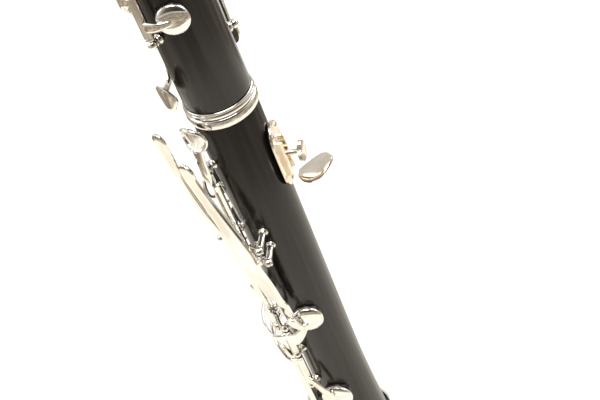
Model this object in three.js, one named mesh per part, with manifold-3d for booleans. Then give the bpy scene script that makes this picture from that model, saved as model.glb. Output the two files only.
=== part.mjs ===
// Soprano clarinet in B flat, Boehm system, standing upright on its bell.
// Millimetres. +Z runs up the bore to the mouthpiece, the finger holes face -Y,
// +X is the player's left hand side. Angles are measured round the bore in degrees,
// from the finger holes towards the player's left. All pads are drawn at rest.
import * as THREE from 'three';
import { mergeVertices } from 'three/addons/utils/BufferGeometryUtils.js';
import Module from 'manifold-3d';

const wasm = await Module();
wasm.setup();
const { Manifold, Mesh: SolidMesh } = wasm;

// ---------------------------------------------------------------- driving sizes
const GAP = 0.35; // running clearance between separate pieces
const BORE = 7.4;
const BELL_TOP = 106;
const LOWER_TOP = 330.5; // shoulder of the wood under the middle rings
const MIDDLE_SPLIT = 335.3; // where the two middle rings meet
const UPPER_BOTTOM = 338.9; // wood of the upper joint above its ring
const UPPER_TOP = 533;
const BARREL_TOP = 599;
const TIP = 672;
const SOCKET_DEPTH = 16.5;
const BELL_SOCKET_DEPTH = 22;
const SEAT_RISE = 0.7; // tone hole seat above the wood
const PAD_GAP = 0.3; // closed pad above its seat
const FINGER_TOP = 17.1; // rim height of an open finger hole, from the bore axis
const RING_TOP = 17.5; // underside of a finger ring when pressed
const POST_BALL = 1.9;
const STEEL_ROD = 0.85;
const SLEEVE = 1.9;
const SLEEVE_BORE = 1.25;
const REST = 180; // the thumb rest stands on the back

// ---------------------------------------------------------------- materials
const finish = (name, color, roughness, metalness) =>
  new THREE.MeshStandardMaterial({ name, color, roughness, metalness });
const grenadilla = finish('grenadilla', 0x1d1814, 0.42, 0.0);
const ebonite = finish('ebonite', 0x0c0c0d, 0.22, 0.0);
const silver = finish('silver_plate', 0xe2dfd6, 0.14, 1.0);
const steel = finish('steel_rod', 0xb4b6b8, 0.3, 1.0);
const cork = finish('cork', 0xb98b5b, 0.85, 0.0);
const cane = finish('cane', 0xd9bd7a, 0.6, 0.0);

// ---------------------------------------------------------------- directions round the bore
const radians = THREE.MathUtils.degToRad;
const outward = (angle) => new THREE.Vector3(Math.sin(radians(angle)), -Math.cos(radians(angle)), 0);
const sideways = (angle) => new THREE.Vector3(Math.cos(radians(angle)), Math.sin(radians(angle)), 0);
const at = (angle, radius, height) => outward(angle).multiplyScalar(radius).setZ(height);
const beside = (angle, shift, radius, height) => at(angle, radius, height).addScaledVector(sideways(angle), shift);

// ---------------------------------------------------------------- solids
function solidOf(geometry) {
  const bare = geometry.clone();
  bare.deleteAttribute('normal');
  bare.deleteAttribute('uv');
  const merged = mergeVertices(bare, 1e-4);
  const points = Float32Array.from(merged.attributes.position.array);
  const corners = Uint32Array.from(merged.index.array);
  const [a, b, c] = [0, 1, 2].map(() => new THREE.Vector3());
  let volume = 0;
  for (let i = 0; i < corners.length; i += 3) {
    a.fromArray(points, corners[i] * 3);
    b.fromArray(points, corners[i + 1] * 3);
    c.fromArray(points, corners[i + 2] * 3);
    volume += a.dot(b.cross(c));
  }
  if (volume < 0) corners.reverse();
  return new Manifold(new SolidMesh({ numProp: 3, vertProperties: points, triVerts: corners }));
}

// A turned piece: [radius, height] pairs round the outline of half a section.
function turned(outline, segments = 24) {
  const points = outline.map(([radius, height]) => new THREE.Vector2(radius, height));
  const onAxis = outline[0][0] === 0 && outline.at(-1)[0] === 0;
  if (!onAxis) points.push(points[0].clone());
  const geometry = new THREE.LatheGeometry(points, segments);
  return solidOf(geometry.rotateX(Math.PI / 2));
}

function bar(from, to, radius, segments = 8, endRadius = radius) {
  const run = to.clone().sub(from);
  const geometry = new THREE.CylinderGeometry(endRadius, radius, run.length(), segments);
  const turn = new THREE.Quaternion().setFromUnitVectors(new THREE.Vector3(0, 1, 0), run.clone().normalize());
  geometry.applyQuaternion(turn);
  const middle = from.clone().add(to).multiplyScalar(0.5);
  return solidOf(geometry.translate(middle.x, middle.y, middle.z));
}

const ball = (centre, radius) =>
  solidOf(new THREE.SphereGeometry(radius, 8, 4).translate(centre.x, centre.y, centre.z));

const joined = (pieces) => Manifold.union(pieces);

// Stand a piece that was turned about its own axis on the bore wall, axis pointing out.
function stoodOut(solid, angle, radius, height, shift = 0) {
  const pose = new THREE.Matrix4().makeBasis(sideways(angle), new THREE.Vector3(0, 0, 1), outward(angle));
  pose.setPosition(beside(angle, shift, radius, height));
  return solid.transform(pose.elements);
}

function swung(solid, hinge, degrees) {
  const point = hinge.point;
  const pose = new THREE.Matrix4().makeTranslation(point.x, point.y, point.z);
  pose.multiply(new THREE.Matrix4().makeRotationAxis(hinge.axis, radians(degrees)));
  pose.multiply(new THREE.Matrix4().makeTranslation(-point.x, -point.y, -point.z));
  return solid.transform(pose.elements);
}

// Smooth run through rows of numbers, with a number of steps per span.
function smooth(rows, steps = 1) {
  const run = [];
  for (let i = 0; i < rows.length - 1; i += 1) {
    const [p0, p1, p2, p3] = [rows[Math.max(i - 1, 0)], rows[i], rows[i + 1], rows[Math.min(i + 2, rows.length - 1)]];
    for (let k = 0; k < steps; k += 1) {
      const t = k / steps;
      run.push(p1.map((_, n) => 0.5 * (2 * p1[n] + (p2[n] - p0[n]) * t
        + (2 * p0[n] - 5 * p1[n] + 4 * p2[n] - p3[n]) * t * t
        + (3 * p1[n] - p0[n] - 3 * p2[n] + p3[n]) * t * t * t)));
    }
  }
  run.push(rows.at(-1));
  return run;
}

// A flat strap of metal with a bevelled outer face, through stations of
// centre, outward direction, width and thickness.
function strap(stations) {
  const vertices = [];
  const corners = [];
  stations.forEach((station, i) => {
    const before = stations[Math.max(i - 1, 0)].centre;
    const after = stations[Math.min(i + 1, stations.length - 1)].centre;
    const travel = after.clone().sub(before).normalize();
    const up = station.up.clone().addScaledVector(travel, -station.up.dot(travel)).normalize();
    const across = travel.clone().cross(up);
    const [w, h] = [station.width / 2, station.thickness / 2];
    const bevel = Math.min(w * 0.4, h);
    const section = [[-w, -h], [w, -h], [w, h - bevel], [w - bevel, h], [bevel - w, h], [-w, h - bevel]];
    section.forEach(([u, v]) => {
      const corner = station.centre.clone().addScaledVector(across, u).addScaledVector(up, v);
      vertices.push(corner.x, corner.y, corner.z);
    });
    if (i === 0) return;
    for (let k = 0; k < 6; k += 1) {
      const [low, next] = [(i - 1) * 6 + k, (i - 1) * 6 + ((k + 1) % 6)];
      corners.push(low, next, low + 6, next, next + 6, low + 6);
    }
  });
  const last = (stations.length - 1) * 6;
  for (let k = 1; k < 5; k += 1) {
    corners.push(0, k + 1, k);
    corners.push(last, last + k, last + k + 1);
  }
  const geometry = new THREE.BufferGeometry();
  geometry.setAttribute('position', new THREE.Float32BufferAttribute(vertices, 3));
  geometry.setIndex(corners);
  return solidOf(geometry);
}

// Strap wrapped round the bore: rows of [angle, radius, height, width, thickness].
const wrapped = (rows, steps) => strap(smooth(rows, steps).map(([angle, radius, height, width, thickness]) => (
  { centre: at(angle, radius, height), up: outward(angle), width, thickness })));

// Straight-sided lever over one line of the bore: rows of [shift, radius, height, width, thickness].
const lever = (angle, rows, steps) => strap(smooth(rows, steps).map(([shift, radius, height, width, thickness]) => (
  { centre: beside(angle, shift, radius, height), up: outward(angle), width, thickness })));

// ---------------------------------------------------------------- the wooden tube
const lowerRadius = (height) => {
  const flare = THREE.MathUtils.clamp((175 - height) / (175 - BELL_TOP), 0, 1);
  return 14.2 + 2.3 * flare * flare;
};
const upperRadius = (height) => 14.3 - 0.7 * (height - UPPER_BOTTOM) / (UPPER_TOP - UPPER_BOTTOM);
const woodRadius = (height) => (height < LOWER_TOP ? lowerRadius(height) : upperRadius(height));
const seat = (height) => woodRadius(height) + SEAT_RISE;

// Finger holes: [angle, height]; padded holes: [angle, height, pad radius, shift to one side].
const fingerHoles = {
  left_first: [0, 456], left_second: [0, 433], left_third: [0, 411],
  right_first: [0, 291.5], right_second: [0, 267], right_third: [0, 242],
};
const upperPads = {
  a: [-10, 510, 4.6, 5], g_sharp: [-10, 505, 4.6, -5], first_vent: [-10, 470, 4.4, 0],
  bridge_vent: [-6, 396, 4.6, 0], thumb_vent: [178, 453, 4.4, 0], cross: [98, 409, 4.6, 0],
  c_sharp: [100, 384.8, 6.3, 0], side_1: [-95, 446, 4.2, -5.5], side_2: [-95, 464, 4.2, -0.5],
  side_3: [-95, 489, 4.2, 2.5], side_4: [-95, 508, 4.2, 4.5],
};
const lowerPads = {
  ring_vent: [-4, 312, 4.6, 0], sliver: [-104, 274, 4.8, 0], a_flat: [98, 210.7, 7.6, 0],
  f: [-14, 172, 7.6, 0], f_sharp: [90, 147, 8, 0], e: [-12, 127, 8.4, 0],
};

function drilled(tube, fingers, pads) {
  const rims = [];
  const holes = [];
  for (const [angle, height] of fingers) {
    const rim = turned([[0, 8.5], [6.6, 8.5], [6.0, FINGER_TOP - 0.5], [5.6, FINGER_TOP], [0, FINGER_TOP]], 14);
    rims.push(stoodOut(rim, angle, 0, height));
    holes.push(bar(at(angle, 3, height), at(angle, 20, height), 3.7, 10));
  }
  for (const [angle, height, pad, shift] of pads) {
    const top = seat(height);
    const rim = turned([[0, 9], [pad - 0.5, 9], [pad - 0.9, top], [0, top]], 10);
    rims.push(stoodOut(rim, angle, 0, height, shift));
    const reach = [3, 20].map((radius) => beside(angle, shift * 0.8, radius, height));
    holes.push(bar(...reach, pad - 2.3, 6));
  }
  return joined([tube, ...rims]).subtract(joined(holes));
}

const bell = turned([
  [10.3, 82], [12.5, 60], [16.5, 38], [22.5, 18], [29.5, 6], [34.5, 0], [38.9, 0],
  [38.9, 8.5], [34.6, 14], [28.6, 27], [24.2, 41], [21.2, 57], [19.2, 72], [18.6, 84], [18.6, 97],
  [17.2, 97.3], [17.2, BELL_TOP], [13.75, BELL_TOP], [13.75, BELL_TOP - BELL_SOCKET_DEPTH - 0.6],
], 32);
const bellRimRing = turned([[38.95 + GAP, 1], [39.9, 1.6], [39.9, 7.2], [38.95 + GAP, 7.8]], 32);
const bellSocketRing = turned([
  [17.7, 97.8], [19.2, 98], [19.7, 101.6], [19.2, BELL_TOP - 0.4], [17.7, BELL_TOP - 0.2],
], 24);

const lowerTenonFoot = BELL_TOP - BELL_SOCKET_DEPTH;
const lowerHeights = [112, 125, 140, 155, 175];
const lowerTube = turned([
  [10.9, lowerTenonFoot], [13.4, lowerTenonFoot], [13.4, 87], [12.3, 87.2], [12.3, 100], [13.4, 100.2],
  [13.4, BELL_TOP + GAP], [lowerRadius(BELL_TOP), BELL_TOP + GAP],
  ...lowerHeights.map((height) => [lowerRadius(height), height]),
  [14.2, LOWER_TOP], [13.4, LOWER_TOP + 0.1], [13.4, MIDDLE_SPLIT - 0.1], [11.3, MIDDLE_SPLIT - 0.1],
  [11.3, MIDDLE_SPLIT - SOCKET_DEPTH - 0.5], [BORE, MIDDLE_SPLIT - SOCKET_DEPTH - 0.5],
  [BORE, 200], [8.6, 140],
], 24);
const lowerRing = turned([
  [13.4 + GAP, LOWER_TOP + GAP], [14.9, LOWER_TOP + GAP], [15.3, LOWER_TOP + 1.2], [15.3, MIDDLE_SPLIT - 1.1],
  [14.9, MIDDLE_SPLIT - 0.15], [13.4 + GAP, MIDDLE_SPLIT - 0.15],
], 24);
const lowerCork = turned([[12.3 + GAP, 87.6], [13.35, 87.6], [13.35, 99.8], [12.3 + GAP, 99.8]], 24);

const upperTenonFoot = MIDDLE_SPLIT - SOCKET_DEPTH;
const upperTube = turned([
  [BORE, upperTenonFoot], [10.95, upperTenonFoot], [10.95, 321], [9.9, 321.2], [9.9, 331], [10.95, 331.2],
  [10.95, MIDDLE_SPLIT + GAP], [13.4, MIDDLE_SPLIT + GAP], [13.4, UPPER_BOTTOM + 0.1], [14.3, UPPER_BOTTOM + 0.2],
  [13.6, UPPER_TOP], [10.95, UPPER_TOP], [10.95, 535], [9.9, 535.2], [9.9, 546], [10.95, 546.2],
  [10.95, UPPER_TOP + SOCKET_DEPTH - 0.5], [BORE, UPPER_TOP + SOCKET_DEPTH - 0.5],
], 24);
const upperRing = turned([
  [13.4 + GAP, MIDDLE_SPLIT + GAP], [14.9, MIDDLE_SPLIT + GAP], [15.2, MIDDLE_SPLIT + 1],
  [15.2, UPPER_BOTTOM - 0.9], [14.6, UPPER_BOTTOM - 0.2], [13.4 + GAP, UPPER_BOTTOM - 0.2],
], 24);
const tenonCork = (bottom, top) => turned([
  [9.9 + GAP, bottom + GAP], [10.9, bottom + GAP], [10.9, top - GAP], [9.9 + GAP, top - GAP],
], 24);

const barrelBase = UPPER_TOP + GAP;
const barrel = turned([
  [11.3, barrelBase], [14.6, barrelBase], [14.6, 538.6], [15.5, 538.8], [16.6, 556], [16.6, 576],
  [15.6, 593.2], [14.6, 593.4], [14.6, BARREL_TOP], [11.3, BARREL_TOP], [11.3, BARREL_TOP - SOCKET_DEPTH],
  [BORE, BARREL_TOP - SOCKET_DEPTH], [BORE, barrelBase + SOCKET_DEPTH], [11.3, barrelBase + SOCKET_DEPTH],
], 24);
const barrelRing = (bottom, top) => turned([
  [14.6 + GAP, bottom], [15.9, bottom], [16.3, bottom + 1], [16.3, top - 1], [15.9, top], [14.6 + GAP, top],
], 24);

// The beak is cut away on the reed side, leaving a flat table and a sloping top.
const mouthpieceBase = BARREL_TOP + GAP;
const mouthpieceFoot = BARREL_TOP - SOCKET_DEPTH + 0.6;
const mouthpieceTurned = turned([
  [BORE, mouthpieceFoot], [10.95, mouthpieceFoot], [10.95, 584.6], [9.9, 584.8], [9.9, 594], [10.95, 594.2],
  [10.95, mouthpieceBase], [13.6, mouthpieceBase], [14.4, 602], [13.9, 606], [13.3, 640], [12.4, TIP],
  [0, TIP], [0, 652], [BORE, 645],
], 24);
const beakCut = lever(0, [[0, 27.1, 636, 40, 30], [0, 16.4, TIP + 6, 40, 30]], 1);
const tableCut = lever(180, [[0, 20.6, 603.5, 40, 20], [0, 20.6, TIP + 6, 40, 20]], 1);
const windowCut = lever(180, [[0, 8, 636, 11, 9], [0, 10.2, 669.5, 11.5, 2.4]], 1);
const mouthpiece = mouthpieceTurned.subtract(joined([beakCut, tableCut, windowCut]));
const reed = lever(180, [
  [0, 12.25, 604.5, 11, 2.5], [0, 12.25, 640, 12, 2.5], [0, 11.75, 656, 12.6, 1.5], [0, 11.22, 671.2, 13, 0.45],
], 2);

const ligatureBand = turned([[14.75, 610], [15.45, 610], [15.45, 634], [14.75, 634]], 24);
const ligatureLugs = [616, 628].map((height) => bar(beside(180, -8, 16.3, height), beside(180, 8, 16.3, height), 1.9));
const ligature = joined([ligatureBand, ...ligatureLugs]).subtract(
  joined([616, 628].map((height) => bar(beside(180, -9, 16.3, height), beside(180, 16, 16.3, height), 1.15))),
);
const ligatureScrew = (height) => {
  const shank = bar(beside(180, -7.6, 16.3, height), beside(180, 9.4, 16.3, height), 0.8);
  const head = bar(beside(180, 8.6, 16.3, height), beside(180, 13.6, 16.3, height), 2.6, 16);
  return joined([shank, head]);
};

// ---------------------------------------------------------------- hinges
const upright = (angle, radius, stops) => ({
  column: 1.5,
  axis: new THREE.Vector3(0, 0, 1),
  point: at(angle, radius, stops[0]),
  ends: stops.map((height) => at(angle, radius, height)),
});
const crosswise = (angle, radius, height, stops) => ({
  column: 1.4,
  axis: sideways(angle),
  point: at(angle, radius, height),
  ends: stops.map((shift) => beside(angle, shift, radius, height)),
});

// Posts with ball heads screwed into the wood, and the steel rod they carry.
function postsAndRod(hinge) {
  const pieces = [bar(hinge.ends[0], hinge.ends.at(-1), STEEL_ROD, 6)];
  for (const end of hinge.ends) {
    const across = new THREE.Vector3(end.x, end.y, 0).normalize();
    const wood = woodRadius(end.z) + GAP;
    const onAxis = (radius) => across.clone().multiplyScalar(radius).setZ(end.z);
    pieces.push(ball(end, POST_BALL));
    pieces.push(bar(onAxis(wood), end, 1.9, 6, hinge.column));
  }
  return joined(pieces);
}

// A key turning on a hinge: its sleeve, then everything soldered to it.
function key(hinge, from, to, pieces, openDegrees = 0) {
  const along = (distance) => hinge.point.clone().addScaledVector(hinge.axis, distance);
  const reach = 30;
  const shut = joined([bar(along(from), along(to), SLEEVE), ...pieces])
    .subtract(bar(along(Math.min(from, to) - reach), along(Math.max(from, to) + reach), SLEEVE_BORE));
  return openDegrees ? swung(shut, hinge, openDegrees) : shut;
}

// Domed cup with its pad, pressed on the seat of a hole.
function cup([angle, height, pad, shift]) {
  const dome = turned([
    [0, 0], [pad - 0.5, 0], [pad - 0.5, 1], [pad, 1], [pad, 2], [pad * 0.6, 3], [0, 3.2],
  ], pad > 6 ? 16 : 11);
  return stoodOut(dome, angle, seat(height) + PAD_GAP, height, shift);
}
const cupTop = (height) => seat(height) + PAD_GAP + 3.1;

function fingerRing([angle, height]) {
  const band = turned([[6.95, 0], [8.4, 0], [8.2, 1.5], [7.1, 1.5]], 16);
  return stoodOut(band, angle, RING_TOP, height);
}

// Oval touch for a finger, [angle, radius, height, half width, half height, thickness].
function touch(angle, radius, height, halfWidth, halfHeight, thickness = 1.5, shift = 0) {
  const disc = turned([
    [0, 0], [0.96, 0], [1, thickness * 0.5], [0.9, thickness], [0, thickness],
  ], 12).scale([halfWidth, halfHeight, 1]);
  return stoodOut(disc, angle, radius - thickness / 2, height, shift);
}

const hinges = {
  register_hinge: crosswise(180, 18.6, 499, [-5.4, 5.4]),
  throat_hinge: crosswise(-10, 18.8, 494, [-11.2, 11.2]),
  side_hinge: crosswise(-95, 19, 428, [-12.6, 12.6]),
  left_side_hinge: upright(62, 18.5, [376, 400.5, 424]),
  thumb_hinge: upright(128, 18, [446, 485]),
  upper_ring_hinge: upright(-45, 18, [350, 445, 472.5]),
  lower_ring_hinge: upright(-45, 18, [229.5, 318.5]),
  sliver_hinge: upright(-72, 18.6, [243.5, 285]),
  left_f_hinge: upright(51, 18.6, [232, 311]),
  left_e_hinge: crosswise(60, 22.8, 271, [-9.6, 12.4]),
  left_a_flat_hinge: crosswise(60, 21.6, 262.5, [3.4, 13.2]),
  little_finger_hinge: upright(59, 19.5, [159.5, 185.5, 206.5]),
  e_hinge: upright(40, 19.5, [124.5, 216]),
  f_hinge: upright(-98, 18.6, [165, 206]),
};

// ---------------------------------------------------------------- keys of the upper joint
const register = key(hinges.register_hinge, -3.1, 3.1, [
  cup([180, 517, 4.2, 0]),
  lever(180, [[0, cupTop(517), 519, 2.4, 1.4], [0, 19.8, 510, 3.6, 1.6], [0, 19.6, 499, 5, 2.2],
    [0, 20.4, 491, 5.6, 1.7]]),
  touch(180, 20.6, 487, 4.6, 5.6),
]);

const throatLever = (shift) => lever(-10, [
  [shift, cupTop(508), 508, 2, 1.4], [shift, 19.6, 501, 3.4, 1.6], [shift, 19.8, 494, 4.4, 2.2],
  [shift, 21, 487, 4.4, 1.7],
]);
const throatA = key(hinges.throat_hinge, 0.5, 7.9, [
  cup(upperPads.a), throatLever(5), touch(-10, 21.2, 483, 4, 4.2, 1.5, 5.4),
]);
const throatGSharp = key(hinges.throat_hinge, -7.9, -0.5, [
  cup(upperPads.g_sharp), throatLever(-5), touch(-10, 21.2, 483, 4, 4.2, 1.5, -5.4),
]);

// Four long side levers on one cross rod; the longer ones bend round the cups of the shorter.
function sideKey(hole, onRod, bends, tip) {
  const [angle, height, , shift] = hole;
  const rows = [
    [shift, cupTop(height), height, 2, 1.4], ...bends, [onRod, 19.8, 428, 3, 2.2],
    [onRod, 20.4, 405, 3, 1.7], [tip.shift, 20.4, tip.height + 4, 3, 1.6],
  ];
  return key(hinges.side_hinge, onRod - 1.9, onRod + 1.9, [
    cup(hole), lever(angle, rows, 2), touch(angle, 20.6, tip.height, tip.halfWidth, 5.4, 1.5, tip.shift),
  ]);
}
const sideOne = sideKey(upperPads.side_1, -6.9, [[-6.2, 19.6, 437, 2.6, 1.5]],
  { shift: -5.8, height: 351, halfWidth: 3 });
const sideTwo = sideKey(upperPads.side_2, -2.3, [[1.3, 19.8, 446, 2.4, 1.5]],
  { shift: 0.4, height: 351, halfWidth: 2.8 });
const sideThree = sideKey(upperPads.side_3, 2.3, [[6, 20, 466, 2.4, 1.5], [5.2, 20, 446, 2.4, 1.5]],
  { shift: 4.4, height: 369, halfWidth: 2.6 });
const sideFour = sideKey(upperPads.side_4, 6.9,
  [[9.6, 19.6, 491, 2.4, 1.5], [9.8, 20, 466, 2.4, 1.5], [9, 20, 446, 2.4, 1.5]],
  { shift: 10.4, height: 369, halfWidth: 3 });

const cross = key(hinges.left_side_hinge, 27, 45.5, [
  cup(upperPads.cross),
  wrapped([[98, cupTop(409), 409, 2, 1.4], [80, 19.6, 409, 3.4, 1.6], [62, 19, 409.5, 5, 1.8]]),
  wrapped([[62, 19.4, 418, 4.6, 1.8], [40, 20, 421, 4, 1.6], [22, 19.8, 421.4, 4, 1.6], [9, 19.4, 421.4, 3.2, 1.4]]),
]);

const cSharp = key(hinges.left_side_hinge, 2.5, 22, [
  cup(upperPads.c_sharp),
  wrapped([[98, cupTop(385) + 0.2, 384.8, 2.2, 1.4], [80, 19.4, 384.6, 3.6, 1.6], [62, 19, 384.4, 5, 1.8]]),
  wrapped([[62, 19.2, 395.4, 4.4, 1.8], [44, 19.6, 394.4, 3.8, 1.7], [22, 19.2, 389, 3.6, 1.6],
    [-4, 19.2, 381, 3.6, 1.6], [-21, 19.4, 373, 3.4, 1.5], [-24, 19.4, 361, 3.4, 1.5], [-22, 19.4, 350, 3.4, 1.5],
    [-10, 19.3, 344.4, 3.6, 1.5], [8, 19.4, 344.4, 4.2, 1.5], [26, 20, 346.6, 6.4, 1.5],
    [39, 20.9, 349, 10.5, 1.5], [49, 21, 350.2, 12.4, 1.5], [58, 20.6, 350.6, 11, 1.4], [65, 20, 350.4, 5.6, 1.2]]),
]);

// Arm from a hinge sleeve to the near edge of a finger ring.
const ringArm = (rodAngle, [ringAngle, height], width = 3.6) => {
  const edge = ringAngle + Math.sign(rodAngle - ringAngle) * 23;
  return wrapped([[rodAngle, 18, height, width, 1.8], [(rodAngle + edge) / 2, 19.4, height, width, 1.6],
    [edge, 19.7, height, width * 0.9, 1.4]]);
};
const OPEN_RING = -6.5; // degrees a sprung-open ring key stands away from its holes

const thumbRing = key(hinges.thumb_hinge, 2.4, 36.6, [
  fingerRing([180, 470]), ringArm(128, [180, 470]), cup(upperPads.thumb_vent),
  wrapped([[128, 18, 453, 3.8, 1.8], [150, 18.8, 453, 3.4, 1.6], [176, cupTop(453), 453, 2, 1.4]]),
], OPEN_RING);

const firstRing = key(hinges.upper_ring_hinge, 97.6, 120, [
  fingerRing(fingerHoles.left_first), ringArm(-45, fingerHoles.left_first), cup(upperPads.first_vent),
  wrapped([[-45, 18, 467, 3.8, 1.8], [-30, 18.6, 469, 3.2, 1.6], [-12, cupTop(470), 470, 2, 1.4]]),
], OPEN_RING);

const upperBridge = key(hinges.upper_ring_hinge, 2.4, 92.5, [
  fingerRing(fingerHoles.left_second), ringArm(-45, fingerHoles.left_second), cup(upperPads.bridge_vent),
  wrapped([[-45, 18, 396, 3.8, 1.8], [-27, 18.6, 396, 3.2, 1.6], [-8, cupTop(396), 396, 2, 1.4]]),
  wrapped([[-45, 18.6, 357, 4.4, 1.8], [-58, 20.6, 354, 4.4, 1.7], [-64, 21.6, 347, 4.2, 1.6],
    [-64, 21.6, 333, 4.4, 1.6]]),
], OPEN_RING);

// ---------------------------------------------------------------- keys of the lower joint
const rightHoles = [fingerHoles.right_first, fingerHoles.right_second, fingerHoles.right_third];
const lowerRingKey = key(hinges.lower_ring_hinge, 2.4, 86.6, [
  ...rightHoles.map(fingerRing), ...rightHoles.map((hole) => ringArm(-45, hole)),
  cup(lowerPads.ring_vent),
  wrapped([[-45, 18, 310, 3.8, 1.8], [-26, 18.6, 311, 3.2, 1.6], [-6, cupTop(312), 312, 2, 1.4]]),
  wrapped([[-45, 18.2, 312, 4.4, 1.8], [-58, 18.2, 314, 4.2, 1.6], [-64, 18.2, 322, 4, 1.6],
    [-64, 18.2, 343, 4.4, 1.4]]),
], OPEN_RING);

const sliver = key(hinges.sliver_hinge, 2.4, 39, [
  cup(lowerPads.sliver),
  wrapped([[-72, 19, 274, 4.6, 1.8], [-88, 19.6, 274, 3.4, 1.6], [-102, cupTop(274), 274, 2, 1.4]]),
  wrapped([[-72, 19.4, 254.5, 4.4, 1.8], [-60, 21.4, 254.5, 4, 1.6], [-45, 22, 254.5, 3.8, 1.6],
    [-28, 21, 254.5, 3.8, 1.5], [-12, 20, 254.5, 3, 1.4]]),
]);

const aFlat = key(hinges.little_finger_hinge, 28.6, 44.5, [
  cup(lowerPads.a_flat),
  wrapped([[59, 20, 198, 9, 1.8], [76, 20.2, 202, 6, 1.7], [97, cupTop(210), 210, 2, 1.5]]),
  wrapped([[90, 19.6, 208, 3, 1.4], [84, 21.6, 213, 4, 1.4], [80, 23, 219, 4.4, 1.3]]),
  wrapped([[59, 20.4, 201, 5, 1.8], [47, 24.2, 201, 4.2, 1.6], [30, 24.6, 202, 4, 1.6], [-12, 24.2, 203, 4, 1.6],
    [-25, 24, 204, 5, 1.5]]),
  touch(-28, 24, 205.2, 5, 4.4),
]);

const fSharp = key(hinges.little_finger_hinge, 2.4, 23.6, [
  cup(lowerPads.f_sharp),
  wrapped([[59, 20, 166, 5, 1.8], [70, 20.4, 163, 4.6, 1.7], [80, 20.2, 156, 4, 1.6],
    [89, cupTop(147), 148, 2.2, 1.5]]),
  wrapped([[59, 20, 179.5, 4.6, 1.8], [48, 22.8, 181.5, 4.2, 1.6], [38, 23.4, 185.5, 4, 1.6],
    [18, 23.4, 190.6, 3.8, 1.6], [-20, 23.2, 192, 3.8, 1.6], [-44, 23, 194, 4, 1.6], [-54, 23, 198, 5, 1.5]]),
  touch(-57, 23.2, 200.5, 5.4, 5),
]);

const eKey = key(hinges.e_hinge, 2.4, 89, [
  cup(lowerPads.e),
  wrapped([[40, 20, 131, 4.6, 1.8], [20, 21, 129, 4.2, 1.7], [-10, cupTop(127), 127.2, 2.4, 1.5]]),
  wrapped([[40, 20.2, 183, 4.4, 1.8], [24, 21.2, 183, 3.8, 1.6], [0, 21.6, 183, 3.8, 1.6], [-24, 22, 183, 4, 1.6],
    [-36, 22.2, 184, 5, 1.5]]),
  touch(-37, 22.4, 184.5, 5, 4.3),
  wrapped([[40, 20.2, 210, 4.4, 1.8], [50, 22.6, 213, 4, 1.5], [55, 24.2, 218, 4.4, 1.4], [56, 24.6, 225, 4.8, 1.3]]),
], 10);

const fKey = key(hinges.f_hinge, 2.4, 38.6, [
  cup(lowerPads.f),
  wrapped([[-98, 18.8, 172, 5, 1.8], [-74, 19.6, 172, 4.6, 1.7], [-46, 19.6, 172, 4.2, 1.7],
    [-16, cupTop(172), 172, 2.4, 1.5]]),
  wrapped([[-98, 19, 185, 4.4, 1.8], [-82, 21.4, 185, 4.4, 1.6], [-64, 22.2, 185, 5, 1.5]]),
  touch(-64, 22.4, 184.5, 4.6, 4.4),
  wrapped([[-98, 18.8, 196, 4, 1.8], [-84, 18.6, 202, 3.6, 1.6], [-62, 17.4, 208, 3.4, 1.5],
    [-34, 17.2, 215, 3.4, 1.5], [-10, 18.2, 220, 3.4, 1.5], [12, 20, 223, 4, 1.4]]),
], -5);

// Left little finger levers: touches stand high over the middle rings.
const leftF = key(hinges.left_f_hinge, 2.4, 76.6, [
  wrapped([[51, 18.9, 299.5, 4, 3.2], [52.5, 19.8, 303.2, 4, 2.6], [57, 21.3, 307, 4.2, 1.9],
    [59.6, 21.9, 311, 4.4, 1.8], [60, 21.5, 318, 4.4, 1.7], [60, 20.7, 324.5, 5, 1.6]]),
  wrapped([[40, 19.4, 328.2, 4, 1.3], [44, 19.9, 328.4, 8.6, 1.4], [51, 20.4, 329, 11.6, 1.6],
    [59, 20.3, 329.6, 12.4, 1.6], [67, 19.7, 329.6, 11, 1.6], [73, 19, 329.4, 7, 1.4], [76, 18.6, 329.3, 3.6, 1.3]]),
  wrapped([[51, 19, 238, 4.4, 1.8], [42, 18.2, 235, 4, 1.7], [33, 18, 231, 4, 1.6], [24, 20, 227.6, 4, 1.5],
    [13, 23.3, 225, 4, 1.4]]),
]);

const leftE = key(hinges.left_e_hinge, -6.4, -1.4, [
  lever(60, [[-15.4, 25.4, 333, 4.6, 1.2], [-15.2, 25.2, 330, 7, 1.5], [-15, 25, 322, 6.6, 1.5],
    [-14.2, 24.8, 308, 4.2, 1.8], [-10.6, 24.6, 290, 4.2, 2], [-4.4, 24.2, 275, 4.2, 2.2], [-4, 24, 268, 4.2, 2.2],
    [-2.9, 22.7, 250, 4.2, 1.9], [-2.9, 22, 238, 4, 1.7], [-3.1, 21.7, 231, 4, 1.5], [-3, 20.8, 223, 4, 1.3]], 2),
]);

const leftAFlat = key(hinges.left_a_flat_hinge, 6.2, 10.2, [
  lever(60, [[-7.6, 25, 318, 4.6, 1.2], [-7.5, 25, 315.5, 7.4, 1.5], [-7, 24.9, 308, 7.4, 1.5],
    [-3.6, 24.8, 296, 8, 1.8], [1.2, 25.2, 283, 9.6, 2], [4.4, 25.5, 275, 10.2, 2], [5.4, 25.5, 268, 11, 2],
    [6, 25.5, 261, 11.6, 2], [6.1, 23.5, 248, 11, 2], [5.6, 20.9, 229, 9.2, 2]], 2),
  lever(60, [[8.2, 23.4, 259.6, 3.6, 2.6], [8.2, 23.4, 265.4, 3.6, 2.6]]),
  lever(60, [[6.2, 19.8, 232, 8, 1], [6.8, 19, 222, 6.6, 1], [7, 18.8, 217.6, 4.6, 0.9]], 2),
]);

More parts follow.
